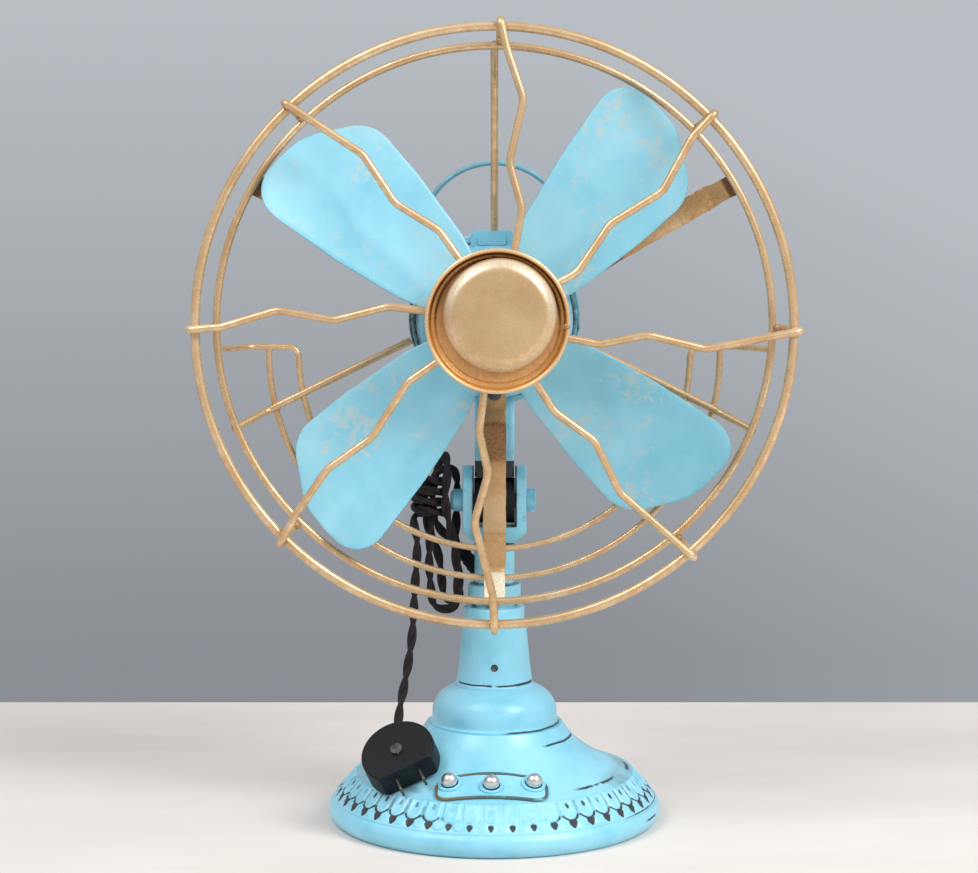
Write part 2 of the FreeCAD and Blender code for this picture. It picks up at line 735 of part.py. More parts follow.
def make_stem():
    """Flange, collar, neck and fork in one casting, with the tilt bolt and the cord's gland."""
    bottom = stem_base
    stem = turned_up((
        (0, bottom), (flange_radius, bottom), (flange_radius, groove_base),
        (groove_radius, groove_base), (groove_radius, collar_base),
        (collar_radius, collar_base), (collar_radius, neck_base),
        (neck_radius, neck_base), (neck_radius, fork_base), (0, fork_base),
    ))
    half = fork_width / 2
    front = -fork_depth / 2
    seat = [
        Vector(neck_radius, front, fork_base), Vector(half, front, fork_waist),
        Vector(half, front, fork_inside),
    ]
    seat += [Vector(-corner.x, corner.y, corner.z) for corner in reversed(seat)]
    floor = Part.Face(Part.makePolygon(seat + seat[:1])).extrude(BACK * fork_depth)
    stem = stem.fuse([floor, fork_cheek(-1), fork_cheek(1)])
    stem = stem.cut(Part.makeCylinder(tie_radius + screw_gap, tie_grip + tie_tail, UP * bottom))
    pivot = Vector(0, 0, pivot_height)
    hole = cylinder(bolt_radius + running_gap, pivot - RIGHT * fork_width, pivot + RIGHT * fork_width)
    stem = stem.cut(hole).removeSplitter()
    save("stem_fork", stem)

    nut_end = half + bolt_nut_length
    bolt = cylinder(bolt_radius, pivot - RIGHT * half, pivot + RIGHT * nut_end)
    head_end = half + bolt_head_length
    head = cylinder(bolt_head_radius, pivot - RIGHT * head_end, pivot - RIGHT * half)
    head = head.makeFillet(bolt_head_round, round_edges(head, -head_end))
    save("tilt_bolt", bolt.fuse(head).removeSplitter())
    nut = hexagon(bolt_nut_radius, bolt_nut_length, pivot + RIGHT * half, RIGHT)
    nut = nut.cut(cylinder(bolt_radius, pivot, pivot + RIGHT * 2 * nut_end))
    save("tilt_nut", nut)

    way = Vector(gland_direction).normalize()
    aside = Vector(way.x, way.y, 0).normalize() * gland_start_radius
    start = aside + UP * (neck_base + gland_rise)
    gland = Part.makeCone(gland_base_radius, gland_mouth_radius, gland_length, start, way)
    save("cord_gland", gland.cut(stem))
    return stem


def round_edges(shape, x):
    """The edges that lie in the plane at x."""
    found = []
    for edge in shape.Edges:
        box = edge.BoundBox
        if abs(box.XMin - x) < 1e-3 and abs(box.XMax - x) < 1e-3:
            found.append(edge)
    return found


# ---------------------------------------------------------------- motor
def through_bolt_holes(radius, start, end):
    """Bars along Y at the three long bolts."""
    bars = []
    for angle in strap_angles:
        a = fan_point(angle, through_bolt_circle, start)
        b = fan_point(angle, through_bolt_circle, end)
        bars.append(cylinder(radius, a, b))
    return bars


def make_motor():
    """Post, friction washers, two bells, stator, bearings, long bolts and carrying handle."""
    pivot = Vector(0, 0, pivot_height)
    reach = RIGHT * fork_width
    post_low = pivot_height + post_shoulder
    post = Part.makeBox(post_width, post_depth, axis_height - post_low)
    post.translate(Vector(-post_width / 2, -post_depth / 2, post_low))
    tongue = Part.makeBox(tongue_width, post_depth, post_shoulder)
    tongue.translate(Vector(-tongue_width / 2, -post_depth / 2, pivot_height))
    heel = cylinder(tongue_radius, pivot - RIGHT * tongue_width / 2, pivot + RIGHT * tongue_width / 2)
    post = post.fuse([tongue, heel])
    post = post.cut(cylinder(motor_radius, fan_point(0, 0, -motor_radius), fan_point(0, 0, motor_radius)))
    bolt_hole = cylinder(bolt_radius + running_gap, pivot - reach, pivot + reach)
    save("motor_post", post.cut(bolt_hole).removeSplitter())

    washers = []
    for side in (-1, 1):
        inner = pivot + RIGHT * side * tongue_width / 2
        disc = cylinder(washer_radius, inner, inner + RIGHT * side * washer_thickness)
        washers.append(disc.cut(bolt_hole))
    save("tilt_washers", Part.makeCompound(washers))

    outside = motor_radius
    inside = motor_radius - motor_wall
    front = motor_front
    face_inside = front + motor_wall
    boss_end = front + bearing_length
    front_bell = turned_fan((
        (0, front), (outside - motor_edge, front), (outside, front + motor_edge), (outside, motor_split),
        (inside, motor_split), (inside, front + motor_edge), (inside - motor_edge, face_inside),
        (bearing_boss_radius, face_inside), (bearing_boss_radius, boss_end), (0, boss_end),
    ))
    back = motor_back
    dome_start = back - motor_dome
    dome_radius = outside - motor_dome_inset
    back_inside = back - motor_wall
    rear_boss = back_inside - bearing_length
    rear_bell = turned_fan((
        (inside, motor_split), (outside, motor_split), (outside, dome_start),
        (dome_radius + motor_edge, back - motor_edge), (dome_radius - motor_edge, back),
        (0, back), (0, rear_boss), (bearing_boss_radius, rear_boss),
        (bearing_boss_radius, back_inside), (dome_radius - motor_edge, back_inside),
        (dome_radius + motor_edge - motor_wall, back - motor_edge - motor_wall / 2), (inside, dome_start),
    ))
    split_middle = (boss_end + rear_boss) / 2
    seat = cylinder(bearing_radius, fan_point(0, 0, 2 * front), fan_point(0, 0, split_middle))
    rear_seat = cylinder(bearing_radius, fan_point(0, 0, split_middle), fan_point(0, 0, back_inside))
    front_bell = front_bell.cut(seat)
    rear_bell = rear_bell.cut(rear_seat)
    stator_end = stator_start + stator_length
    stator = cylinder(stator_radius, fan_point(0, 0, stator_start), fan_point(0, 0, stator_end))
    ends = fan_point(0, 0, 2 * motor_front), fan_point(0, 0, 2 * motor_back)
    stator = stator.cut(cylinder(stator_inner_radius, *ends))
    holes = through_bolt_holes(through_bolt_radius + screw_gap, front - motor_radius, motor_back)
    for hole in holes:
        front_bell = front_bell.cut(hole)
        stator = stator.cut(hole)
    save("motor_front_bell", front_bell.removeSplitter())
    save("motor_rear_bell", rear_bell.removeSplitter())
    save("stator_core", stator)
    coils = []
    for y, way in ((stator_start, -1), (stator_end, 1)):
        middle = fan_point(0, 0, y + way * (coil_wire_radius + coil_gap))
        ring = Part.makeTorus(coil_radius, coil_wire_radius, middle, BACK)
        for hole in through_bolt_holes(through_bolt_radius + screw_gap, front, motor_back):
            ring = ring.cut(hole)
        coils.append(ring)
    save("stator_coils", Part.makeCompound(coils))

    bearings = []
    shaft_way = cylinder(shaft_radius + running_gap, *ends)
    for start, end in ((front, boss_end), (rear_boss, back_inside)):
        sleeve = cylinder(bearing_radius, fan_point(0, 0, start), fan_point(0, 0, end))
        bearings.append(sleeve.cut(shaft_way))
    save("bearings", Part.makeCompound(bearings))

    strap_front = front - strap_thickness
    shanks = through_bolt_holes(through_bolt_radius, strap_front, through_bolt_end)
    head_front = strap_front - through_bolt_head_height
    heads = through_bolt_holes(through_bolt_head_radius, head_front, strap_front)
    bolts = [shank.fuse(head).removeSplitter() for shank, head in zip(shanks, heads)]
    save("through_bolts", Part.makeCompound(bolts))

    handle_middle = fan_point(90, handle_rise, handle_y)
    reach = motor_radius - weld_bite
    cosine = (handle_radius ** 2 + handle_rise ** 2 - reach ** 2) / (2 * handle_radius * handle_rise)
    end_turn = 90 - math.degrees(math.acos(cosine))
    ends = []
    for angle in (-end_turn, 180 + end_turn):
        a = math.radians(angle)
        ends.append(handle_middle + Vector(handle_radius * math.cos(a), 0, handle_radius * math.sin(a)))
    arc = Part.Arc(ends[0], handle_middle + UP * handle_radius, ends[1]).toShape()
    save("carry_handle", swept([arc], handle_wire_radius))


# ---------------------------------------------------------------- rotor
def blade_blank():
    """One blade lying along +X in the XZ plane, before it is pitched."""
    root = Vector(blade_inner, 0, blade_inner_half_width)
    corners = [Vector(root.x, 0, -root.z)]
    corners += [Vector(share * blade_tip, 0, across) for share, across, bend in blade_outline]
    corners.append(root)
    edges = bent_edges(corners, [bend for share, across, bend in blade_outline])
    edges += chain(corners[-1], corners[0])
    plate = Part.Face(Part.Wire(edges)).extrude(BACK * blade_thickness)
    plate.translate(BACK * -blade_thickness / 2)
    return plate


def make_rotor():
    """Shaft, laminated core, blade hub with its nut and four pitched blades."""
    shaft_back = motor_back - motor_wall - sliding_gap
    shaft_front = hub_front - hub_nut_length + sliding_gap
    save("shaft", cylinder(shaft_radius, fan_point(0, 0, shaft_front), fan_point(0, 0, shaft_back)))
    core_end = stator_start + stator_length
    core_radius = stator_inner_radius - air_gap
    core = cylinder(core_radius, fan_point(0, 0, stator_start), fan_point(0, 0, core_end))
    shaft_room = cylinder(shaft_radius, fan_point(0, 0, 2 * hub_front), fan_point(0, 0, motor_back))
    save("rotor_core", core.cut(shaft_room))
    blank = blade_blank()
    hub = cylinder(hub_radius, fan_point(0, 0, hub_front), fan_point(0, 0, hub_back)).cut(shaft_room)
    for number, angle in enumerate(blade_angles):
        blade = blank.copy()
        blade.rotate(Vector(), RIGHT, blade_pitch)
        blade.rotate(Vector(), BACK, -angle)
        blade.translate(Vector(0, blade_plane, axis_height))
        hub = hub.cut(blade)
        save("blade_" + str(number + 1), blade)
    save("blade_hub", hub)
    nut = hexagon(hub_nut_radius, hub_nut_length, fan_point(0, 0, hub_front), -BACK)
    save("hub_nut", nut.cut(cylinder(shaft_radius, fan_point(0, 0, shaft_front), HEART)))


# ---------------------------------------------------------------- cage
def strap(angle):
    """A flat bar from the motor's face to the rear ring, bent along its length."""
    sides = ([], [])
    line = strap_line(angle)
    for index, (radius, y) in enumerate(line):
        before = line[max(index - 1, 0)]
        after = line[min(index + 1, len(line) - 1)]
        way_r = after[0] - before[0]
        way_y = after[1] - before[1]
        length = math.hypot(way_r, way_y)
        for side, sign in zip(sides, (-1, 1)):
            shift = sign * strap_thickness / 2
            x = radius - way_y / length * shift
            side.append(Vector(x, y + way_r / length * shift, -strap_width / 2))
    outline = sides[0] + sides[1][::-1]
    bar = Part.Face(Part.makePolygon(outline + outline[:1])).extrude(UP * strap_width)
    bar.rotate(Vector(), BACK, -angle)
    bar.translate(HEART)
    hole_start = fan_point(angle, through_bolt_circle, motor_front - 2 * strap_thickness)
    hole_end = fan_point(angle, through_bolt_circle, motor_front)
    return bar.cut(cylinder(through_bolt_radius + screw_gap, hole_start, hole_end))


def lower_arc_wire():
    """The inner lower wire: rail, corner, long arc, corner and rail in one length."""
    centre = Vector(0, lower_y, CAGE.z - lower_drop)
    rail_z = CAGE.z - lower_rail_drop
    rise = rail_z - centre.z
    reach = lower_inner_radius + lower_corner
    corner_x = math.sqrt(reach ** 2 - (rise - lower_corner) ** 2)
    corner_centre = Vector(corner_x, lower_y, rail_z - lower_corner)
    inwards = (centre - corner_centre).normalize()
    to_arc = inwards * lower_corner
    middle_way = (inwards + UP).normalize() * lower_corner
    ring_x = math.sqrt(rear_ring_radius ** 2 - lower_rail_drop ** 2)
    end = Vector(ring_x, rear_ring_y, rail_z)
    bend = Vector(rear_ring_radius - lower_bend_inset, lower_y, rail_z)
    rail_end = Vector(corner_x, lower_y, rail_z)
    right = bent_edges([end, bend, rail_end], [lower_bend_radius])
    right.append(Part.Arc(rail_end, corner_centre + middle_way, corner_centre + to_arc).toShape())
    arc_end = corner_centre + to_arc
    low = Vector(0, lower_y, centre.z - lower_inner_radius)
    other_end = Vector(-arc_end.x, arc_end.y, arc_end.z)
    long_arc = Part.Arc(arc_end, low, other_end).toShape()
    left = [edge.mirror(Vector(), RIGHT) for edge in right]
    return swept(Part.__sortEdges__(right + [long_arc] + left), lower_wire)


def front_wire_line(first_angle, last_angle, bends):
    """Corners of one front wire, from behind the dish, over the front ring, to the rear one."""
    rim_back = dish_back + cage_wire - weld_bite
    over_ring = front_ring_y - front_ring_wire - cage_wire + weld_bite
    hook_reach = front_ring_radius + front_hook_past
    rear_touch = rear_ring_radius + rear_ring_wire + cage_wire - weld_bite
    start = fan_point(first_angle, dish_radius - cage_wire, rim_back, DISH)
    over = fan_point(last_angle, hook_reach, over_ring, CAGE)
    run = over - start
    aside = BACK.cross(run).normalize()
    points = [start]
    points += [start + run * share + aside * distance for share, distance in bends]
    points += [over, over + BACK * front_hook_back]
    points.append(fan_point(last_angle, rear_touch, rear_ring_y, CAGE))
    return points


def make_cage():
    """Two rings, eight waved front wires, hub dish, rear wires, lower arcs and straps."""
    front_middle = fan_point(0, 0, front_ring_y, CAGE)
    rear_middle = fan_point(0, 0, rear_ring_y, CAGE)
    save("guard_front_ring", Part.makeTorus(front_ring_radius, front_ring_wire, front_middle, BACK))
    save("guard_rear_ring", Part.makeTorus(rear_ring_radius, rear_ring_wire, rear_middle, BACK))
    for number, (first_angle, last_angle, bends) in enumerate(front_wires):
        points = front_wire_line(first_angle, last_angle, bends)
        radii = [front_wire_bend] * len(bends) + [front_hook_bend, front_hook_bend]
        save("front_wire_" + str(number + 1), swept(bent_edges(points, radii), cage_wire))

    lip = dish_back - dish_sheet
    rim_front = dish_back - dish_rim_depth
    badge_front = lip - badge_proud
    dish = turned_fan((
        (0, dish_back), (dish_radius, dish_back), (dish_radius, rim_front),
        (dish_radius - dish_sheet, rim_front), (dish_radius - 2 * dish_sheet, lip),
        (0, lip),
    ), DISH)
    badge = turned_fan((
        (0, dish_back), (badge_radius, dish_back), (badge_radius, badge_front + badge_bevel),
        (badge_face_radius, badge_front), (0, badge_front),
    ), DISH + badge_shift)
    save("hub_dish", dish.fuse(badge).removeSplitter())

    spokes = []
    spoke_motor_y = motor_front + spoke_motor_depth
    for outer_angle, inner_angle in zip(spoke_outer_angles, spoke_inner_angles):
        outer = fan_point(outer_angle, rear_ring_radius, rear_ring_y, CAGE)
        inner = fan_point(inner_angle, motor_radius - weld_bite, spoke_motor_y)
        share = spoke_bend_inset / (rear_ring_radius - motor_radius)
        knee = outer + (inner - outer) * share
        knee.y = spoke_y
        spokes.append(bent_wire([outer, knee, inner], cage_wire, spoke_bend))
    save("rear_spokes", Part.makeCompound(spokes))
    save("rear_straps", Part.makeCompound([strap(angle) for angle in strap_angles]))

    save("lower_guard_inner", lower_arc_wire())
    centre = Vector(0, lower_y, CAGE.z - lower_drop)
    rise = lower_drop - lower_rail_drop
    reach = math.sqrt(lower_middle_radius ** 2 - rise ** 2)
    right = centre + Vector(reach, 0, rise)
    left = centre + Vector(-reach, 0, rise)
    arc = Part.Arc(right, centre - UP * lower_middle_radius, left).toShape()
    save("lower_guard_middle", swept([arc], lower_wire))


# ---------------------------------------------------------------- cord and plug
def plug_rotation():
    """Turns X to the pins' way and Z to the way the plug's cover looks."""
    face = Vector(plug_face).normalize()
    pins = Vector(plug_pins_way)
    pins = (pins - face * pins.dot(face)).normalize()
    across = face.cross(pins)
    return Rotation(pins, across, face)


def place_plug(shape):
    """Takes a piece drawn about the plug's own middle to where the plug lies."""
    placed = shape.copy()
    placed.Placement = Placement(plug_middle, plug_rotation()).multiply(shape.Placement)
    return placed


def make_cord():
    """Loose runs of the cord, the hank between them, and the plug's four pieces."""
    save("cord_lead", cord_tube("lead", lead_route))
    drop = cord_tube("drop", drop_route)
    save("cord_drop", drop)
    rings = []
    for height, x, half_width, half_depth in hank_sections:
        ellipse = Part.Ellipse(Vector(x, hank_middle_y, height), half_width, half_depth)
        rings.append(Part.Wire(ellipse.toShape()))
    save("cord_hank", Part.makeLoft(rings, True, False))

    half = plug_thickness / 2
    disc = Part.makeCylinder(plug_radius, plug_thickness, Vector(0, 0, -half))
    rims = [edge for edge in disc.Edges if edge.BoundBox.ZLength < plug_edge]
    disc = disc.makeFillet(plug_edge, rims)
    across = 2 * plug_radius
    beyond = Part.makeBox(plug_radius, across, 2 * plug_thickness)
    beyond.translate(Vector(plug_flat, -plug_radius, -plug_thickness))
    disc = disc.cut(beyond)
    upper = Part.makeBox(across, across, plug_thickness)
    upper.translate(Vector(-plug_radius, -plug_radius, 0))
    screw_hole = Part.makeCylinder(plug_screw_radius, plug_thickness, Vector(0, 0, -half / 2))
    pins = []
    for side in (-1, 1):
        pin = Part.makeBox(pin_root + pin_length, pin_thickness, pin_width)
        pin_side = (side * pin_spacing - pin_thickness) / 2
        pin.translate(Vector(plug_flat - pin_root, pin_side, -pin_width / 2))
        pins.append(pin)
    body = disc.cut(upper).cut(screw_hole)
    cover = disc.common(upper).cut(screw_hole)
    for pin in pins:
        body = body.cut(pin)
        cover = cover.cut(pin)
    head = Part.makeCylinder(plug_screw_head_radius, plug_screw_head_height, Vector(0, 0, half))
    slot = Part.makeBox(2 * plug_screw_head_radius, plug_screw_slot, plug_screw_slot)
    slot_low = half + plug_screw_head_height - plug_screw_slot
    slot.translate(Vector(-plug_screw_head_radius, -plug_screw_slot / 2, slot_low))
    inside = Part.makeBox(plug_thickness, plug_thickness, plug_thickness)
    inside.translate(Vector(-half, -half, -half))
    screw = screw_hole.common(inside).fuse(head).cut(slot)
    save("plug_body", place_plug(body))
    save("plug_cover", place_plug(cover))
    save("plug_pins", Part.makeCompound([place_plug(pin) for pin in pins]))
    save("plug_screw", place_plug(screw.removeSplitter()))


make_foot()
make_switch()
make_stem()
make_motor()
make_rotor()
make_cage()
make_cord()
print("pivot", pivot_height, "axis", axis_height)
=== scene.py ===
import math

import bmesh
import bpy
import numpy as np
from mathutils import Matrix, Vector
from numpy import cos, sin


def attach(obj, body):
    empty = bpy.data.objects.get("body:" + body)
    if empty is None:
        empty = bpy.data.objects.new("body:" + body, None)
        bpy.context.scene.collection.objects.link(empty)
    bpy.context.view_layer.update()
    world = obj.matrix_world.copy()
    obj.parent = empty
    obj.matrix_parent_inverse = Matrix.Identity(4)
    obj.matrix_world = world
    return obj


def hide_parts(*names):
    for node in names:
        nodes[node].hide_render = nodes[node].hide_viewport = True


# Dresses the desk fan: painted foot and stem, gilt cage, four blades, dish, switch and cord.
# Shapes are worked out in millimetres in the part's own frame and stored in metres.

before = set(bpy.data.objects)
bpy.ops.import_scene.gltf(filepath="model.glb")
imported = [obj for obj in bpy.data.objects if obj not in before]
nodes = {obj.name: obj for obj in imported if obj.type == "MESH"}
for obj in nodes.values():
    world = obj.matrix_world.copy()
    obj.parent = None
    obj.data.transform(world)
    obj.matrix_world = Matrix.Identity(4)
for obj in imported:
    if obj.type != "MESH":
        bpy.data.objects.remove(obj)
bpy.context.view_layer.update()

MM = 0.001
TAU = 2 * math.pi
PIVOT = 171.4      # height of the tilt bolt
FAN_AXIS = 268     # height of the fan's axis
FRONT_RING, REAR_RING = 150.8, 142     # radii of the cage's two rings
# middles of what lies across the fan, as (x, height)
HEART = (0, FAN_AXIS)
CAGE = (0, 266.1)
DISH = (1.5, 270.8)
BADGE = (2.75, 273.7)
# a slab's outline is its 0 and 1 and its level is its 2: which of them goes to x, y and z
UPRIGHT, SIDEWAYS, FACING = [0, 1, 2], [2, 0, 1], [0, 2, 1]


# ---- small sums
def unit(vectors):
    """Vectors divided by their own lengths."""
    vectors = np.asarray(vectors, float)
    return vectors / np.linalg.norm(vectors, axis=-1, keepdims=True)


def eased(value, low, high):
    """0 below low, 1 above high, and the smooth cubic 3s^2 - 2s^3 between them."""
    share = np.clip((value - low) / (high - low), 0, 1)
    return share * share * (3 - 2 * share)


def near(value, place, outer, inner):
    """1 within inner of a place, 0 beyond outer, and eased between them."""
    return eased(np.abs(value - place), outer, inner)


def most(*values):
    """The largest of several values, point by point."""
    return np.maximum.reduce(np.broadcast_arrays(*values))


def swung(a, b, angle):
    """A pair of lengths turned by an angle: a cos - b sin, and a sin + b cos."""
    return a * math.cos(angle) - b * math.sin(angle), a * math.sin(angle) + b * math.cos(angle)


def circle(steps):
    """Even turns round a whole circle, one to a row."""
    return np.linspace(0, TAU, steps, endpoint=False)[:, None]


def ring(radius, turns):
    """The points of a circle at some turns."""
    return radius * np.stack([cos(turns), sin(turns)], -1)


def bent(points, radii, steps):
    """Straight runs joined by arcs: the arc at a corner touches both runs, and its centre is on the line
    that halves them."""
    points = np.asarray(points, float)
    path = [points[:1]]
    for before, corner, after, radius in zip(points, points[1:], points[2:], radii):
        way_in, way_out = unit(before - corner), unit(after - corner)
        half = (math.pi - math.acos(np.clip(way_in @ way_out, -1, 1))) / 2
        inwards, along = unit(way_in + way_out), unit(way_out - way_in)
        middle = corner + inwards * radius / math.cos(half)
        turns = np.linspace(-half, half, steps + 1)[:, None]
        path.append(middle + radius * (sin(turns) * along - cos(turns) * inwards))
    return np.vstack(path + [points[-1:]])


def flowing(points, steps):
    """A Catmull-Rom curve: each piece between two points is the cubic that passes both with the slopes of
    their neighbours."""
    p = np.asarray(points, float)
    p = np.vstack([2 * p[0] - p[1], p, 2 * p[-1] - p[-2]])
    t = np.linspace(0, 1, steps, endpoint=False)[None, :, None]
    a, b, c, d = (p[i:len(p) - 3 + i, None] for i in range(4))
    twice = 2 * b + (c - a) * t + (2 * a - 5 * b + 4 * c - d) * t ** 2 + (3 * b - a - 3 * c + d) * t ** 3
    return np.vstack([0.5 * twice.reshape(-1, p.shape[1]), p[-2:-1]])


def capped(profile):
    """A profile with a point added at each end, on the axis that it is turned about."""
    return np.vstack([(0, profile[0][1]), profile, (0, profile[-1][1])])


def run_along(path):
    """How far along a path each of its points is."""
    return np.concatenate([[0], np.cumsum(np.linalg.norm(np.diff(path, axis=0), axis=1))])


def even_steps(path, step):
    """A path's points moved along it until they are one step apart."""
    reached = run_along(path)
    wanted = np.linspace(0, reached[-1], max(2, round(reached[-1] / step)))
    return np.stack([np.interp(wanted, reached, way) for way in path.T], 1)


def even_loop(outline, step):
    """A closed outline's points, moved along it until they are one step apart."""
    return even_steps(np.vstack([outline, outline[:1]]), step)[:-1]


# ---- surfaces
def surface(points, wrap_u=False, wrap_v=False, **marks):
    """A grid of points joined into quads: neighbours along u and along v are joined, and a wrapped way
    meets its own start."""
    rows, columns = points.shape[:2]
    u, v = np.arange(rows + wrap_u), np.arange(columns + wrap_v)
    number = np.arange(rows * columns).reshape(rows, columns)[np.ix_(u % rows, v % columns)]
    place = np.stack(np.meshgrid(u, v, indexing="ij"), -1).astype(float)
    faces, corners = (
        np.stack([a[:-1, :-1], a[1:, :-1], a[1:, 1:], a[:-1, 1:]], 2) for a in (number, place)
    )
    return {
        "points": points.reshape(-1, 3),
        "faces": faces.reshape(-1, 4),
        "corners": corners.reshape(-1, 4, 2),
        "marks": {k: np.broadcast_to(m, (rows, columns)).reshape(-1) for k, m in marks.items()},
    }


def placed(name, data):
    """A new object that holds the data, linked into the scene."""
    made = bpy.data.objects.new(name, data)
    bpy.context.scene.collection.objects.link(made)
    return made


def piece(name, body, finish, surfaces, replaces=(), crease=40, uv=None):
    """Joins surfaces into one named piece on a body, with its doubles merged and its faces turned outwards.
    Edges sharper than the crease, in degrees, stay sharp."""
    points = np.vstack([s["points"] for s in surfaces]) * MM
    starts = np.cumsum([0] + [len(s["points"]) for s in surfaces[:-1]])
    faces = np.vstack([s["faces"] + start for s, start in zip(surfaces, starts)])
    mesh = bpy.data.meshes.new(name)
    mesh.from_pydata(points.tolist(), [], faces.tolist())
    for mark in sorted({k for s in surfaces for k in s["marks"]}):
        values = np.concatenate([s["marks"].get(mark, np.zeros(len(s["points"]))) for s in surfaces])
        mesh.attributes.new(mark, "FLOAT", "POINT").data.foreach_set("value", values.astype(np.float32))
    if uv is not None:
        corners = np.vstack([s["corners"] for s in surfaces]) * np.array(uv)
        mesh.uv_layers.new(name="weave").data.foreach_set("uv", corners.reshape(-1).astype(np.float32))
    work = bmesh.new()
    work.from_mesh(mesh)
    bmesh.ops.remove_doubles(work, verts=work.verts, dist=1e-6)
    bmesh.ops.recalc_face_normals(work, faces=work.faces)
    work.to_mesh(mesh)
    work.free()
    mesh.shade_smooth()
    mesh.set_sharp_from_angle(angle=math.radians(crease))
    mesh.materials.append(finish)
    made = placed(name, mesh)
    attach(made, body)
    if replaces:
        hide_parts(*replaces)
    return made


def turned(profile, steps, fan=None, wobble=0, **marks):
    """A profile of (radius, height) turned about the stem's axis, or of (radius, depth) about a middle of
    the fan. At a turn t the point is at radius times (sin t, -cos t) for the stem and (cos t, -sin t) for
    the fan."""
    profile = np.asarray(profile, float)
    t = circle(steps)
    radius = profile[None, :, 0] * (1 + wobble * sin(3 * t + 7 * sin(t)))
    along = np.broadcast_to(profile[None, :, 1], radius.shape)
    if fan:
        points = np.stack([fan[0] + radius * cos(t), along, fan[1] - radius * sin(t)], -1)
    else:
        points = np.stack([radius * sin(t), -radius * cos(t), along], -1)
    return surface(points, wrap_u=True, **marks)


def carried(path, section, across, scale=1, closed=False, **marks):
    """A flat section carried along a path: each of its points (a, b) lies a along the across way and b
    along the way square to both. An open path's two ends close on its own first and last point."""
    path = np.asarray(path, float)
    way = unit(np.roll(path, -1, 0) - np.roll(path, 1, 0) if closed else np.gradient(path, axis=0))
    across = np.broadcast_to(np.asarray(across, float), path.shape)
    across = unit(across - way * np.sum(across * way, 1, keepdims=True))
    up = np.cross(across, way)
    scale = np.broadcast_to(scale, len(path))[:, None, None]
    spread = section[None, :, :1] * across[:, None] + section[None, :, 1:] * up[:, None]
    rings = path[:, None] + spread * scale
    if not closed:
        first, last = (np.broadcast_to(p, (1, len(section), 3)) for p in (path[0], path[-1]))
        rings = np.concatenate([first, rings, last])
        marks = {k: np.concatenate([m[:1], m, m[-1:]])[:, None] for k, m in marks.items()}
    return surface(rings, wrap_u=closed, wrap_v=True, **marks)


def round_section(radius, sides):
    """Points evenly round a circle."""
    return ring(radius, circle(sides)[:, 0])


def rounded_box(width, height, corner, steps=5):
    """A box about its own middle, whose corners are quarter circles."""
    rings = []
    for k, (sx, sy) in enumerate([(1, 1), (-1, 1), (-1, -1), (1, -1)]):
        t = np.linspace(k * TAU / 4, (k + 1) * TAU / 4, steps)
        middle = np.array([sx * (width / 2 - corner), sy * (height / 2 - corner)])
        rings.append(middle + ring(corner, t))
    return np.vstack(rings)


def slab(outline, low, high, edge, order, **marks):
    """A plate of an outline, between two levels, whose rims are quarter circles: each ring is the outline
    drawn in by its share of the edge. The order says which way the plate lies."""
    way = unit(np.roll(outline, -1, 0) - np.roll(outline, 1, 0))
    inwards = np.stack([-way[:, 1], way[:, 0]], 1)
    t = np.linspace(0, math.pi / 2, 4)
    inset = np.concatenate([edge * (1 - sin(t)), edge * (1 - cos(t))])
    level = np.concatenate([[low], low + edge * (1 - cos(t)), high - edge * (1 - sin(t)), [high]])
    rings = outline[:, None] + inwards[:, None] * inset[None, :, None]
    middle = np.broadcast_to(outline.mean(0), (len(outline), 1, 2))
    flat = np.concatenate([middle, rings, middle], 1)
    level = np.broadcast_to(level[:, None], (*flat.shape[:2], 1))
    return surface(np.concatenate([flat, level], -1)[..., order], wrap_u=True, **marks)


def lump(middle, size, turn, steps=14):
    """A blob of weld: a ball whose radius swells and sinks by a sine of both of its angles."""
    t = circle(steps)
    p = np.linspace(0, math.pi, steps // 2 + 2)[None, :]
    swell = 1 + 0.13 * sin(3 * t + turn) * sin(2 * p + turn) + 0.08 * cos(2 * t - turn)
    swell = (swell ** sin(p))[..., None]
    ball = np.stack([cos(t) * sin(p), sin(t) * sin(p), cos(p) + 0 * t], -1)
    return surface(middle + ball * swell * np.array(size), wrap_u=True)


def fan_point(angle, radius, depth, middle=HEART):
    """A point about a middle of the fan: angle in degrees from +X towards +Z."""
    a = np.radians(angle)
    place = middle[0] + radius * cos(a), depth, middle[1] + radius * sin(a)
    return np.stack(np.broadcast_arrays(*place), -1)


# ---- finishes
def shade(card):
    """A colour given on the 0 to 255 scale of a paint card, as the linear light that the shader takes."""
    c = np.array(card) / 255
    return (*np.where(c <= 0.04045, c / 12.92, ((c + 0.055) / 1.055) ** 2.4).tolist(), 1)


class Value:
    """What a node gives at each point. Values are added and so on with each other and with plain
    numbers."""

    def __init__(self, maker, socket):
        self.maker, self.socket = maker, socket

    def __add__(self, other):
        return self.maker.sum("ADD", self, other)

    def __sub__(self, other):
        return self.maker.sum("SUBTRACT", self, other)

    def __mul__(self, other):
        return self.maker.sum("MULTIPLY", self, other)

    def __abs__(self):
        return self.maker.sum("ABSOLUTE", self)


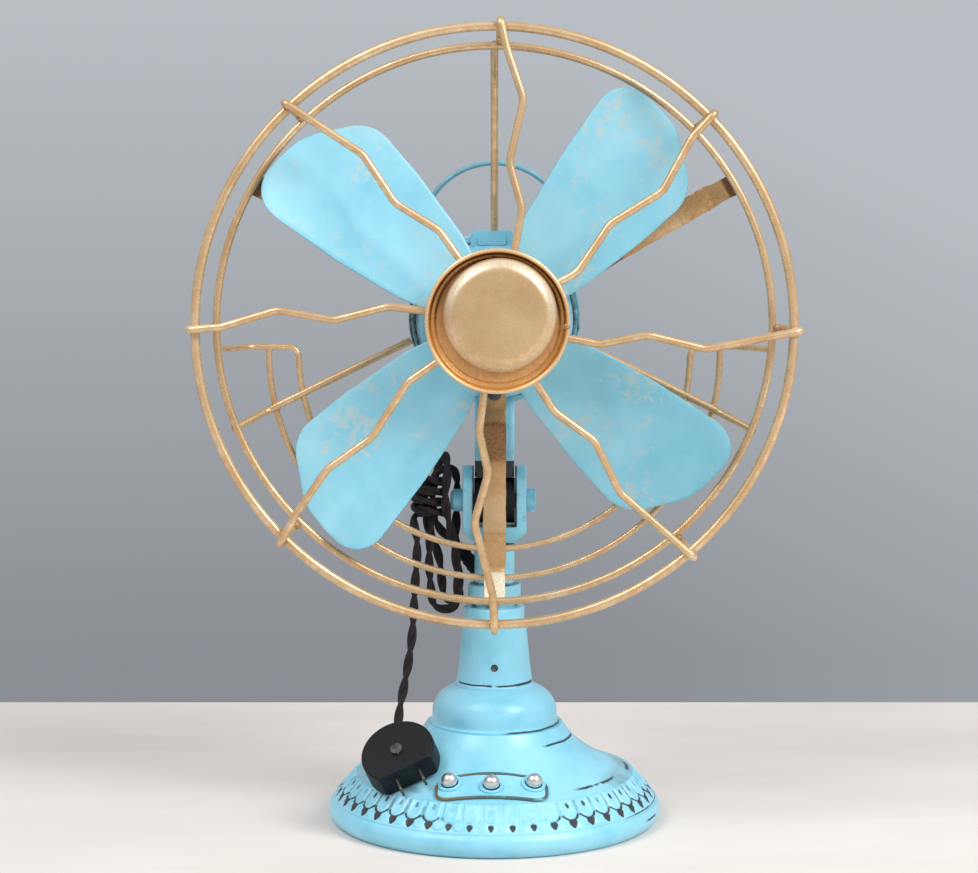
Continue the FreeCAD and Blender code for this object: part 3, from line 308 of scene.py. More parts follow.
class Maker:
    """Builds a node tree one node at a time. Each call returns the value that its node gives. Colours are
    given as on a paint card."""

    def __init__(self, tree, space="Object"):
        self.tree = tree
        self.place = Value(self, self.node("ShaderNodeTexCoord").outputs[space])

    def node(self, kind, **settings):
        made = self.tree.nodes.new(kind)
        for key, value in settings.items():
            setattr(made, key, value)
        return made

    def feed(self, socket, value):
        if isinstance(value, Value):
            self.tree.links.new(value.socket, socket)
        else:
            socket.default_value = shade(value) if isinstance(value, tuple) else value

    def sum(self, operation, *terms):
        made = self.node("ShaderNodeMath", operation=operation)
        for socket, term in zip(made.inputs, terms):
            self.feed(socket, term)
        return Value(self, made.outputs[0])

    def axes(self, source=None):
        made = self.node("ShaderNodeSeparateXYZ")
        self.feed(made.inputs[0], source or self.place)
        return [Value(self, socket) for socket in made.outputs]

    def noise(self, scale, detail, rough, twist=0, stretch=None):
        made = self.node("ShaderNodeTexNoise")
        source = self.place
        if stretch:
            mapping = self.node("ShaderNodeMapping")
            mapping.inputs["Scale"].default_value = stretch
            self.feed(mapping.inputs["Vector"], source)
            source = Value(self, mapping.outputs[0])
        self.feed(made.inputs["Vector"], source)
        amounts = zip(("Scale", "Detail", "Roughness", "Distortion"), (scale, detail, rough, twist))
        for socket, value in amounts:
            made.inputs[socket].default_value = value
        return Value(self, made.outputs["Fac"])

    def between(self, value, low, high, start=0, end=1, kind="SMOOTHSTEP"):
        made = self.node("ShaderNodeMapRange", interpolation_type=kind)
        sockets = "Value", "From Min", "From Max", "To Min", "To Max"
        for socket, number in zip(sockets, (value, low, high, start, end)):
            self.feed(made.inputs[socket], number)
        return Value(self, made.outputs["Result"])

    def ramp(self, value, *stops):
        made = self.node("ShaderNodeValToRGB")
        elements = made.color_ramp.elements
        for _ in stops[2:]:
            elements.new(0.5)
        for element, (place, card) in zip(elements, stops):
            element.position = place
            element.color = shade(card)
        self.feed(made.inputs[0], value)
        return Value(self, made.outputs[0])

    def mixed(self, share, under, over):
        made = self.node("ShaderNodeMix", data_type="RGBA")
        self.feed(made.inputs["Factor"], share)
        self.feed(made.inputs[6], under)
        self.feed(made.inputs[7], over)
        return Value(self, made.outputs[2])

    def mark(self, name):
        return Value(self, self.node("ShaderNodeAttribute", attribute_name=name).outputs["Fac"])


class Finish(Maker):
    """A material, with what is the same all over it given by the names of the shader's sockets."""

    def __init__(self, name, **constants):
        self.material = bpy.data.materials.new(name)
        self.material.use_nodes = True
        super().__init__(self.material.node_tree)
        self.shader = self.tree.nodes["Principled BSDF"].inputs
        for socket, value in constants.items():
            self.shader[socket.replace("_", " ")].default_value = value

    def colour(self, value):
        self.feed(self.shader["Base Color"], value)

    def rough(self, value, low, high, smooth, dull):
        self.feed(self.shader["Roughness"], self.between(value, low, high, smooth, dull))

    def relief(self, height, distance, strength):
        made = self.node("ShaderNodeBump")
        made.inputs["Strength"].default_value = strength
        made.inputs["Distance"].default_value = distance * MM
        self.feed(made.inputs["Height"], height)
        self.feed(self.shader["Normal"], Value(self, made.outputs[0]))


SKY_DEEP, SKY, SKY_PALE = (122, 199, 221), (144, 214, 236), (160, 223, 242)
TEAL_GREY = (98, 140, 142)
# dark primer showing through wear, and also the colour of painted shade
DARK_WEAR_AND_SHADE = (44, 50, 52)
# brown for painted shade and cream for a painted highlight on gilt pieces
GILT_SHADE, GILT_HIGHLIGHT = (104, 66, 36), (250, 236, 208)


def sky_paint(name, lines=(), washes=(), marked=False, grime=0.2, tones=(SKY_DEEP, SKY, SKY_PALE)):
    """Sky blue enamel over dark primer. Each line is a ring of wear (height, half width, first and last
    angle from the front, strength), each wash a smeared dark glaze (low and high height, first and last
    angle, strength). On marked pieces the mark mixes in the dark tone as painted shade in hollows, creases
    and between parts, together with patchy stains."""
    paint = Finish(name, Coat_Weight=0.25, Coat_Roughness=0.2)
    cloud = paint.noise(28, 4, 0.6)
    speck = paint.noise(420, 3, 0.6)
    broken = paint.noise(150, 3, 0.6)
    base = paint.ramp(cloud, *zip((0.3, 0.5, 0.72), tones))
    x, y, z = paint.axes()
    angle = paint.sum("ARCTAN2", x, y * -1)
    level = z + (paint.noise(90, 4, 0.65) - 0.5) * 0.0011

    def aside(first, last):
        """How far an angle is from the middle of two, and how far those are from it."""
        return abs(angle - math.radians((first + last) / 2)), math.radians((last - first) / 2)

    for low, high, first, last, strength in washes:
        away, half = aside(first, last)
        inside = paint.between(away, half, half * 0.55)
        rise = abs(z - (low + high) / 2 * MM)
        band = paint.between(rise, (high - low) / 2 * MM, (high - low) / 8 * MM)
        smear = paint.between(cloud + speck * 0.35, 0.48, 0.86)
        base = paint.mixed(inside * band * (smear * strength), base, TEAL_GREY)
    wear_and_shade = paint.between(paint.noise(600, 2, 0.5), 0.80, 0.86) * grime
    for height, half_width, first, last, strength in lines:
        away, half = aside(first, last)
        inside = paint.between(away + broken * 0.1, half + 0.05, half * 0.8)
        band = paint.between(abs(level - height * MM), half_width * MM, half_width * 0.35 * MM)
        chips = paint.between(broken, 0.62 - 0.45 * strength, 0.72 - 0.45 * strength)
        wear_and_shade = paint.sum("MAXIMUM", wear_and_shade, inside * band * chips)
    # painted shade, with patchy stains, where the piece's mark asks for it
    if marked:
        edge = paint.between(paint.mark("grime") + (broken - 0.5) * 0.7, 0.32, 0.78)
        wear_and_shade = paint.sum("MAXIMUM", wear_and_shade, edge)
    paint.colour(paint.mixed(wear_and_shade, base, DARK_WEAR_AND_SHADE))
    paint.rough(wear_and_shade, 0, 1, 0.36, 0.68)
    paint.relief(cloud * 0.8 - wear_and_shade * 0.6 + speck * 0.12, 0.35, 0.5)
    return paint.material


def blade_paint():
    """Paler blue over grey primer that shows through in soft rubbed patches along the blade."""
    paint = Finish("blade_paint", Coat_Weight=0.15)
    cloud = paint.noise(16, 4, 0.6, 0.3)
    speck = paint.noise(500, 2, 0.5)
    cluster = paint.noise(26, 3, 0.6)
    fleck = paint.noise(210, 4, 0.65, 0.4)
    base = paint.ramp(cloud, (0.3, (112, 188, 208)), (0.5, (132, 200, 221)), (0.72, (154, 213, 230)))
    rubbed = paint.between(cluster * 0.6 + fleck * 0.55, 0.62, 0.70)
    base = paint.mixed(rubbed * 0.5, base, (190, 200, 194))
    edge = paint.between(paint.mark("edge") + fleck * 0.5, 1.1, 1.4)
    paint.colour(paint.mixed(edge * 0.6, base, (104, 136, 142)))
    paint.rough(rubbed, 0, 1, 0.4, 0.6)
    paint.relief(cloud + speck * 0.2, 0.3, 0.4)
    return paint.material


def bead_paint():
    """Worn bead: brass-grey metal with the blue left in its hollows, browner towards its left end."""
    paint = Finish("plate_bead_worn", Roughness=0.4, Metallic=0.3)
    patch = paint.noise(70, 4, 0.65)
    left = paint.between(paint.axes()[0], -0.004, -0.026)
    bare = paint.mixed(left, (92, 106, 104), (124, 106, 66))
    paint.colour(paint.mixed(paint.between(patch, 0.56, 0.70), bare, (140, 205, 215)))
    paint.relief(patch, 0.2, 0.5)
    return paint.material


def gilt(name, tones, scale, metallic, roughness=0.3, marked=False, depth=0.12):
    """Gilt paint: fine speckle in three tones. On marked pieces brown painted shade and a cream painted
    highlight are mixed in where their marks ask."""
    paint = Finish(name, Metallic=metallic)
    grain = paint.noise(scale, 3, 0.5)
    drift = paint.noise(38, 3, 0.6)
    base = paint.ramp(grain * 0.5 + drift * 0.5, *zip((0.34, 0.5, 0.66), tones))
    if marked:
        # painted shade in brown, then a painted highlight in cream
        base = paint.mixed(paint.between(paint.mark("grime") + grain * 0.5, 0.55, 1.1), base, GILT_SHADE)
        base = paint.mixed(paint.mark("glow"), base, GILT_HIGHLIGHT)
    paint.colour(base)
    paint.rough(grain, 0.3, 0.7, roughness + 0.12, roughness - 0.08)
    paint.relief(grain, depth, 0.5)
    return paint.material


def bare_metal(name, dark, light, roughness=0.3, scale=300):
    """Metal with a fine mottle of two tones and a faint scratch relief."""
    metal = Finish(name, Metallic=1)
    grain = metal.noise(scale, 4, 0.6)
    metal.colour(metal.ramp(grain, (0.35, dark), (0.65, light)))
    metal.rough(grain, 0.3, 0.7, roughness * 1.3, roughness * 0.8)
    metal.relief(grain, 0.04, 0.4)
    return metal.material


def moulded(name, dark, light, roughness):
    """Moulded insulating stuff: near black, with a faint flow mottle and dust-fine pits."""
    stuff = Finish(name, Specular_IOR_Level=0.3)
    flow = stuff.noise(45, 4, 0.6, 0.5)
    stuff.colour(stuff.ramp(flow, (0.3, dark), (0.7, light)))
    stuff.rough(flow, 0.3, 0.7, roughness * 0.85, roughness * 1.2)
    stuff.relief(stuff.noise(900, 2, 0.5), 0.05, 0.4)
    return stuff.material


def braid():
    """Braided cloth: two families of slanting threads cross over the strand, read from its own map."""
    cloth = Finish("cord_braid", Roughness=0.85, Sheen_Weight=0.08)
    threads = TAU * 5
    weave = Value(cloth, cloth.node("ShaderNodeUVMap", uv_map="weave").outputs[0])
    turn, run = (way * threads for way in cloth.axes(weave)[:2])
    thread = cloth.sum("SINE", turn + run) * cloth.sum("SINE", turn - run)
    fuzz = cloth.noise(700, 3, 0.6)
    tone = cloth.between(thread, -1, 1, 0.2, 0.6) + fuzz * 0.3
    cloth.colour(cloth.ramp(tone, (0.25, (11, 5, 7)), (0.5, (26, 14, 17)), (0.85, (47, 29, 32))))
    cloth.relief(thread + fuzz, 0.12, 0.6)
    return cloth.material


stem_paint = sky_paint("stem_paint", marked=True, grime=0.35)
skirt_paint = sky_paint(
    "skirt_paint",
    lines=(
        (45.6, 0.7, 36, 92, 0.75), (27.7, 0.5, 36, 70, 0.6), (26.4, 0.6, 84, 104, 0.7),
        (7.4, 0.8, 62, 76, 0.7), (12.6, 0.45, 62, 100, 0.6), (12.6, 0.5, -105, -60, 0.4),
        (40, 0.6, 150, 230, 0.5),
    ),
    washes=((22, 31, 50, 120, 0.7), (22, 33, -125, -42, 0.9), (10, 15, 40, 130, 0.4)),
    grime=0.25,
)
band_paint = sky_paint("band_paint", marked=True)
bulge_paint = sky_paint("bulge_paint", ((52.7, 0.7, 4, 96, 0.85), (71.2, 0.5, 100, 200, 0.4)))
column_paint = sky_paint(
    "column_paint",
    ((74.9, 0.6, -75, -5, 0.8), (74.9, 0.8, -16, -2, 1), (74.9, 0.6, 0, 42, 0.8), (75, 1, 28, 88, 1)),
)
plate_paint = sky_paint("plate_paint", marked=True, grime=0.3)
handle_paint = sky_paint("handle_paint", grime=0.5, tones=((98, 150, 166), (116, 172, 188), (138, 188, 202)))
blades_paint = blade_paint()
bead_worn = bead_paint()
wire_gilt = gilt("wire_gilt", ((196, 158, 114), (212, 177, 134), (230, 201, 162)), 260, 0.55, depth=0.02)
strap_gilt = gilt("strap_gilt", ((174, 132, 84), (196, 154, 104), (216, 178, 130)), 700, 0.4, 0.32, True)
dish_gilt = gilt("dish_gilt", ((184, 120, 54), (208, 146, 70), (228, 174, 98)), 500, 0.45, marked=True)
badge_gilt = gilt("badge_gilt", ((192, 156, 112), (206, 172, 128), (218, 188, 146)), 420, 0.45, marked=True)
weld_gilt = gilt("weld_gilt", ((140, 102, 66), (176, 136, 92), (204, 168, 122)), 900, 0.3, 0.42)
chrome = bare_metal("button_chrome", (212, 206, 204), (240, 234, 232), 0.34, 500)
steel = bare_metal("bright_steel", (150, 152, 156), (192, 194, 198))
iron = bare_metal("core_iron", (70, 70, 74), (110, 110, 114), 0.5, 180)
copper = bare_metal("coil_copper", (148, 78, 44), (196, 116, 70), 0.35)
bronze = bare_metal("bearing_bronze", (140, 104, 60), (184, 146, 92), 0.4)
brass = bare_metal("plug_brass", (84, 80, 72), (112, 106, 94), 0.4)
bakelite = moulded("plug_bakelite", (9, 10, 12), (17, 18, 21), 0.5)
switch_stuff = moulded("switch_stuff", (22, 22, 22), (40, 38, 36), 0.6)
washer_stuff = moulded("washer_stuff", (14, 18, 20), (26, 32, 34), 0.7)
braid_cloth = braid()


# ---- camera, floor and light
def make_camera():
    """The camera at eye height, looking a little down at the fan."""
    eye = bpy.data.cameras.new("camera")
    eye.sensor_width = 36
    eye.lens = 92.02
    eye.shift_x = -0.00562
    held = placed("camera", eye)
    held.location = (0, -1.317, 0.344)
    held.rotation_euler = (math.radians(83.99), 0, 0)
    bpy.context.scene.camera = held


def make_wall():
    """A grey all round that grows paler with height, and also from the middle towards the right."""
    world = bpy.data.worlds.new("grey_wall")
    world.use_nodes = True
    wall = Maker(world.node_tree, "Generated")
    x, _, z = wall.axes()
    tone = wall.between(z, -0.19, 0.07, kind="LINEAR") + wall.between(x, 0.03, 0.20, 0, 0.32, "LINEAR")
    grey = wall.ramp(tone, (0, (138, 142, 148)), (1, (186, 191, 197)))
    wall.feed(wall.tree.nodes["Background"].inputs["Color"], grey)
    bpy.context.scene.world = world


def make_table():
    """A pale table top, 5 m wide, whose far edge is a little behind the fan."""
    top = Finish("table_top", Roughness=0.85)
    grain = top.noise(9, 4, 0.6, stretch=(0.4, 1, 1))
    top.colour(top.ramp(grain, (0.3, (224, 214, 206)), (0.7, (237, 228, 221))))
    top.relief(top.noise(160, 3, 0.6), 0.1, 0.3)
    side, near_edge, far_edge = 2500, -1400, 290.5
    corners = np.array([(x, y, 0) for y in (near_edge, far_edge) for x in (-side, side)]) * MM
    mesh = bpy.data.meshes.new("table_top")
    mesh.from_pydata(corners.tolist(), [], [(0, 1, 3, 2)])
    mesh.materials.append(top.material)
    placed("table_top", mesh)


def softbox(name, place, power):
    """A square soft lamp that looks from its place at a point half way up the fan."""
    lamp = bpy.data.lights.new(name, "AREA")
    lamp.shape = "SQUARE"
    lamp.size = 0.7
    lamp.energy = power
    held = placed(name, lamp)
    held.location = place
    held.rotation_euler = (Vector((0, 0, 0.2)) - Vector(place)).to_track_quat("-Z", "Y").to_euler()


bpy.context.scene.view_settings.view_transform = "Standard"
make_camera()
make_wall()
make_table()
softbox("lamp_left", (-0.78, -0.78, 1.38), 11)
softbox("lamp_right", (0.95, -0.88, 1.22), 19)


# ---- cord
CORD_START = (-13.71, 7.715, 138.33)
cord_before_wrap = (
    CORD_START, (-21.4, 12.1, 147.1), (-28.5, 10, 153), (-33.1, 5.05, 162),
    (-33.1, 5.05, 172), (-32.5, 5, 182),
    (-29.5, 3.5, 192), (-26.5, 0.5, 197.5), (-24.5, -5.5, 189),
    (-25.9, -7.6, 178), (-25.9, -7.6, 168), (-22, -6, 152), (-19.8, -4, 136),
    (-19.5, -3, 122), (-20.5, -2.5, 113.2), (-32.5, -2, 113.2),
    (-34, -1.5, 124), (-35, -1, 140), (-34, -0.5, 154), (-33.1, -0.05, 164),
    (-33.1, -0.05, 174), (-32.4, 0, 182), (-29.5, 0.3, 187.5), (-22, 1.5, 188.5),
    (-19.9, 8.5, 181.5), (-20.2, 10.9, 170), (-20.5, 8, 160), (-20.5, 4.5, 150),
    (-20, 4, 140), (-18.6, 5.5, 126), (-18.2, 7.5, 116.5), (-27.2, 7, 116.5),
    (-28.3, 6, 128), (-29.5, 5, 141), (-34.8, 3.6, 155), (-37.55, 2.5, 164),
    (-37.6, 2.5, 175), (-36, -1.5, 184),
)
cord_after_wrap = (
    (-42.8, -3.5, 158), (-40.5, -4, 150), (-42.5, -3.5, 124), (-43.3, -9.5, 101),
    (-46.6, -13.5, 80), (-50.2, -20.2, 62.6), (-50.9, -30.2, 54.3),
)
WRAP_TURNS = 3.67
WRAP_STEPS = 48
WRAP_RADIUS = 8.05
WRAP_START = math.radians(300)
WRAP_MIDDLE = (-34.6, 2.5)
WRAP_TOP, WRAP_DROP = 182, 20.2
STRAND_RADIUS = 1.35
STRAND_SINK = 0.2      # how far a strand's middle is drawn in, so that the two press on each other
STRAND_TWIST = 29

PLUG_MIDDLE = np.array([-48.6, -45.4, 42.2])
PLUG_WAY = unit([0.341, -0.786, -0.515])     # the way its blades point
PLUG_FACE = unit([-0.252, -0.605, 0.756])


def wrap_points():
    """The turns that bind the hank: a helix about its runs, going down a little more than a cord's width
    each turn."""
    share = np.linspace(0, 1, WRAP_STEPS)
    x, y = (ring(WRAP_RADIUS, WRAP_START + TAU * WRAP_TURNS * share) + WRAP_MIDDLE).T
    return np.stack([x, y, WRAP_TOP - WRAP_DROP * share], 1)


def cord_line():
    """The cord's middle line: one smooth spline through its route, read back as points."""
    route = np.vstack([cord_before_wrap, wrap_points(), cord_after_wrap]) * MM
    curve = bpy.data.curves.new("cord_guide", "CURVE")
    curve.dimensions = "3D"
    curve.resolution_u = 12
    spline = curve.splines.new("NURBS")
    spline.points.add(len(route) - 1)
    spline.points.foreach_set("co", np.column_stack([route, np.ones(len(route))]).reshape(-1))
    spline.order_u = 3
    spline.use_endpoint_u = True
    guide = placed("cord_guide", curve)
    bpy.context.view_layer.update()
    read = bpy.data.meshes.new_from_object(guide)
    points = np.zeros(len(read.vertices) * 3)
    read.vertices.foreach_get("co", points)
    bpy.data.objects.remove(guide)
    bpy.data.curves.remove(curve)
    bpy.data.meshes.remove(read)
    return points.reshape(-1, 3) / MM


def steady_frame(way):
    """A way square to the path at every station, first nearest to +Y and then passed on from one station to
    the next with no twist of its own."""
    held = [unit(np.array([0, 1, 0]) - way[0] * way[0][1])]
    for ahead in way[1:]:
        held.append(unit(held[-1] - ahead * (held[-1] @ ahead)))
    return np.array(held)


def make_plug_blades():
    """The two flat blades of the plug: a bar's section carried along the way they point, its end drawn in
    by a quarter circle."""
    apart, root, tip = 6.35, 8, 20.8
    side = np.cross(PLUG_FACE, PLUG_WAY)
    bend = np.radians([30, 60, 85])
    out = np.concatenate([np.linspace(root, tip, 9), tip + 1.2 * sin(bend)])[:, None]
    shrink = np.concatenate([np.ones(9), cos(bend) * 0.5 + 0.5])
    bar = rounded_box(6.3, 1.5, 0.4, 3)
    middles = (PLUG_MIDDLE + half * apart * side + out * PLUG_WAY for half in (-1, 1))
    blades = [carried(middle, bar, PLUG_FACE, shrink) for middle in middles]
    piece("plug_blades", "root", brass, blades, ["plug_pins"], 50)


def make_cord():
    """Two braided strands laid round each other: each strand's middle turns about the line once per twist,
    half a turn apart. The ribbed sleeve tapers over the cord's first stretch."""
    spline = cord_line()
    line = even_steps(spline, 0.9)
    way = unit(np.gradient(line, axis=0))
    side = steady_frame(way)
    up = np.cross(way, side)
    reached = run_along(line)
    strands = []
    for half in (0, math.pi):
        turn = (reached * TAU / STRAND_TWIST + half)[:, None]
        middle = line + (STRAND_RADIUS - STRAND_SINK) * (cos(turn) * side + sin(turn) * up)
        strands.append(carried(middle, round_section(STRAND_RADIUS, 10), side))
    solids = "cord_lead", "cord_hank", "cord_drop"
    cord = piece("cord", "root", braid_cloth, strands, solids, 80, (0.1, 0.06))

    base, sleeve_end = (-5, 2.8, 128.5), 10.5
    sleeve = even_steps(np.vstack([base, line[reached < sleeve_end]]), 0.6)
    along = np.linspace(0, 1, len(sleeve))
    ribs = 1 + 0.06 * cos(TAU * 7 * along) * eased(along, 0.1, 0.3)
    tube = carried(sleeve, round_section(1, 24), (0, 1, 0), (4.7 - 1.6 * along) * ribs)
    piece("cord_sleeve", "root", washer_stuff, [tube], ["cord_gland"], 50)


# ---- foot
PETALS = 48
PETAL_TURN = math.radians(-1.2)
BAND_LOW, BAND_HIGH = np.array([86, 12.25]), np.array([74, 25.3])
BAND_SKIN = 0.16       # how far the band's lowest places stand off the solid's cone
BAND_ROOT = 0.9        # how far the band's back lies under it


def rounded_in(side, up, middle, half_width, half_height):
    """1 on the outline of a shape that is a box above its middle and half an ellipse below it, less inside
    it and more outside."""
    below = np.minimum(up - middle, 0) / half_height
    return np.sqrt((side / half_width) ** 2 + below ** 2)


def oval(side, up, middle, half_width, half_height):
    """1 on the outline of an ellipse, less inside it and more outside."""
    return np.sqrt((side / half_width) ** 2 + ((up - middle) / half_height) ** 2)


def make_petals():
    """The sloping band of petals. Its surface stands off the cone by a height made of hanging petals with a
    slit in each, and of small lobes half a petal aside in the gaps under them. Painted shade lies in pits
    below the petals, under them and in the gaps and slits, more of it away from the front, with a darker
    lower edge on the right and a general darkening at the sides."""
    turns = circle(PETALS * 20)
    up = np.linspace(0, 1, 42)[None, :]
    side = 2 * np.mod((turns - PETAL_TURN) * PETALS / TAU + 0.5, 1) - 1
    petal = rounded_in(side, up, 0.60, 0.82, 0.26)
    lobe = rounded_in(1 - np.abs(side), up, 0.28, 0.78, 0.25)
    slit = oval(side, up, 0.80, 0.24, 0.12)
    raised = 0.72 * eased(petal, 1.04, 0.82) - 0.30 * eased(petal, 0.72, 0.45)
    petal_height = raised * (up > 0.25) - 0.45 * eased(slit, 1.15, 0.5)
    lobe_height = 0.52 * eased(lobe, 1, 0.6) * eased(up, 0.46, 0.36)
    height = most(petal_height, lobe_height, 0) * eased(up, 1, 0.95) * eased(up, 0, 0.03)

    cone = BAND_LOW + (BAND_HIGH - BAND_LOW) * up.T
    slope = unit(BAND_HIGH - BAND_LOW)
    out = np.array([slope[1], -slope[0]])
    band = cone + out * (height + BAND_SKIN)[..., None]
    back = np.broadcast_to([cone[-1] - out * BAND_ROOT, cone[0] - out * BAND_ROOT], (len(turns), 2, 2))
    radius, level = np.concatenate([band, back], 1).transpose(2, 0, 1)
    points = np.stack([radius * sin(turns), -radius * cos(turns), level], -1)

    angle = np.degrees(np.arctan2(sin(turns), cos(turns)))
    # painted shade grows stronger away from the front, and wavers a little round the band
    side_shade = eased(np.abs(angle), 12, 30)
    far = eased(np.abs(angle), 38, 62)
    wear_and_shade = 0.8 + 0.2 * sin(turns * 31) * sin(turns * 17 + 1)
    pit = oval(side, up, 0.20, (0.10 + 1.7 * up) * (0.70 + 0.25 * side_shade), 0.13 + 0.02 * side_shade)
    under = near(petal, 1.1, 0.22, 0.08) * eased(up, 0.58, 0.46) * (up > 0.2)
    hollow = eased(height, 0.34, 0.06) * eased(up, 1, 0.94) * eased(up, 0.20, 0.34)
    # painted shade: pits, under the petals, hollows, slits, the lower edge on the right, and the sides
    grime = most(
        eased(pit, 1.15, 0.75) * (0.88 + 0.3 * side_shade),
        under * (0.30 + 0.75 * side_shade * wear_and_shade),
        hollow * (0.16 + 0.40 * side_shade * wear_and_shade),
        eased(slit, 1.3, 0.6) * side_shade * wear_and_shade * 0.95,
        eased(up, 0.07, 0) * far * 0.85 * (angle > 0),
        0.36 * far * eased(up, 0.1, 0.4),
    )
    grime = np.pad(grime, ((0, 0), (0, 2)))
    piece("foot_petals", "root", band_paint, [surface(points, True, True, grime=grime)], (), 180)


def make_rings():
    """The rounded ring on the skirt, and above it the tapered column with a groove round its foot, both
    turned about the stem's axis."""
    bulge = (
        (34.6, 52), (34.65, 53), (33.5, 53.6), (33.3, 55.2), (33.3, 58), (32.7, 61.5), (31.2, 65),
        (28.9, 67.9), (25.8, 70.1), (22.6, 71.6), (20.8, 72.3),
    )
    column = (
        (20.8, 72.3), (20.7, 73.6), (20.25, 74.4), (19.9, 74.9), (20.1, 75.5), (19.8, 77.5), (19.1, 83),
        (18.4, 90), (17.7, 97), (17.2, 103), (16.95, 106), (16.6, 107),
    )
    for name, points, finish, solid in (
        ("bulge", bulge, bulge_paint, "bulge_collar"), ("column_shell", column, column_paint, "column"),
    ):
        shape = turned(capped(flowing(points, 5)), 160, wobble=0.0012)
        piece(name, "root", finish, [shape], [solid])


def make_set_screw():
    """The screw in the column's front: a turned button whose face is a shallow bowl, its rim proud of the
    paint."""
    profile = np.array([(0, 1.2), (1.9, 1.2), (1.9, -0.1), (1.55, -0.35), (1.2, -0.05), (0, 0.1)])
    column_front, height = -19.15, 84.5
    shape = turned(profile + (0, column_front), 32, (0, height))
    piece("set_screw_head", "root", iron, [shape], ["set_screw"], 60)


# ---- stem and tilt bolt
def stem_surface():
    """The stem's flange, collar and neck as one turned casting, with painted shade in the grooves between
    them and where the neck runs under the fork."""
    casting = bent([
        (0, 107), (15.4, 107), (16, 108.2), (16, 114.2), (15.2, 115), (12.4, 115), (12.4, 118),
        (13.4, 118), (14, 119), (14, 126.2), (13.2, 127), (10.9, 127.3), (10.65, 130),
        (10.64, 143), (10.64, 147), (10.65, 150.5), (0, 150.5),
    ], [0.3, 0.6, 0.6, 0.3, 0.3, 0.3, 0.3, 0.6, 0.6, 0.3, 0.3, 1, 0.1, 0.1, 0.1], 3)
    height = casting[:, 1]
    painted_shade = most(
        near(height, 116.5, 2.3, 1.2) * 0.56,
        near(height, 127.3, 1.2, 0.2) * 0.6,
        eased(height, 143, 147) * 0.75,
    )
    return turned(casting, 96, wobble=0.002, grime=painted_shade)


def fork_surface():
    """The fork in one skin: an outer and an inner line are followed together down one cheek, across and up
    the other, and at each step a rounded box joins them. Its depth is a half circle's width at the cheeks'
    tops."""
    cheek_middle, cheek_radius = 178, 12
    rise = cheek_middle + cheek_radius * sin(np.linspace(math.pi / 2, 0, 13))
    sides = np.concatenate([rise, [170, 163, 158.9]])
    outer = [(-16.85, z) for z in sides] + [(-16.85, 155.5), (-14.4, 153.3), (-10.65, 150), (-5, 150)]
    inner = [(-11, z) for z in sides] + [(-11, 158.5), (-9.6, 158.5), (-7.5, 158.5), (-4, 158.5)]
    outer, inner = (np.array(line + [(-x, z) for x, z in reversed(line)]) for line in (outer, inner))
    above = np.maximum(outer[:, 1] - cheek_middle, 0)
    depth = np.sqrt(np.maximum(cheek_radius ** 2 - above ** 2, 0)) + 0.01
    half = np.linalg.norm(outer - inner, axis=1) / 2
    edge = np.minimum(1.1, depth * 0.9)
    rings = []
    for k, (a, b) in enumerate([(1, 1), (-1, 1), (-1, -1), (1, -1)]):
        t = np.linspace(k * TAU / 4, (k + 1) * TAU / 4, 5)
        share = (a * (half - edge)[:, None] + edge[:, None] * cos(t)) / half[:, None]
        flat = (outer + inner)[:, None] / 2 + (outer - inner)[:, None] / 2 * share[..., None]
        y = b * (depth - edge)[:, None] + edge[:, None] * sin(t)
        rings.append(np.stack([flat[..., 0], y, flat[..., 1]], -1))
    points = np.concatenate(rings, 1)
    first, last = (np.broadcast_to(points[k].mean(0), (1, points.shape[1], 3)) for k in (0, -1))
    points = np.concatenate([first, points, last])
    # painted shade on the faces inside the fork, between its cheeks
    inside = eased(np.abs(points[..., 0]), 12.2, 11.2) * eased(points[..., 2], 158, 159)
    return surface(points, wrap_v=True, grime=0.30 + 0.5 * inside)


def make_stem():
    """Stem and fork, one casting."""
    parts = [stem_surface(), fork_surface()]
    piece("stem_casting", "root", stem_paint, parts, ["stem_fork"])


def make_tilt_bolt():
    """The tilt bolt with its domed head on the left, its shank, and the six-sided nut with its points cut
    back on the right."""
    def along_bolt(profile, steps):
        """A profile of (radius, x) turned about the bolt's own way."""
        t = circle(steps)
        r, x = np.asarray(profile, float).T[:, None]
        return surface(np.stack([x + 0 * t, r * cos(t), PIVOT + r * sin(t)], -1), True, grime=0.3)

    head = [(0, -16.85), (5.8, -16.85), (6, -18), (6, -21.6), (4.6, -23.3), (0, -23.45)]
    shank = [(0, -17), (4, -17), (4, 21.2), (3.4, 21.85), (0, 21.85)]
    parts = [along_bolt(bent(head, [0.2, 0.2, 1.2, 1.6], 5), 48), along_bolt(shank, 24)]
    piece("tilt_bolt_head", "root", stem_paint, parts, ["tilt_bolt"])
    nut = even_loop(ring(6.5, circle(6)[:, 0] + TAU / 12), 0.9)
    reach = np.linalg.norm(nut, axis=1, keepdims=True)
    nut = nut / reach * np.minimum(reach, 6.3) + (0, PIVOT)
    body = slab(nut, 16.85, 21.6, 0.5, SIDEWAYS, grime=0.45)
    piece("tilt_bolt_nut", "root", stem_paint, [body], ["tilt_nut"])


def make_post():
    """The cast post between the fork's cheeks: a box with round corners that stands on a tongue round the
    bolt."""
    tongue = ring(11.5, np.linspace(-math.pi, 0, 19)) + (0, PIVOT)
    tongue = even_loop(np.vstack([tongue, [(7.8, 178), (7.8, 185.4), (-7.8, 185.4), (-7.8, 178)]]), 1.4)
    parts = [
        slab(rounded_box(21, 16, 2.4), 193, 228, 0.6, UPRIGHT, grime=0.36),
        # this lower block is painted near black: painted shade between the fork's cheeks
        slab(rounded_box(20.8, 15.8, 2.4), 184.4, 194, 0.6, UPRIGHT, grime=1.3),
        slab(tongue, -6, 6, 0.6, SIDEWAYS, grime=0.5),
    ]
    piece("fan_post", "head", stem_paint, parts, ["motor_post"])


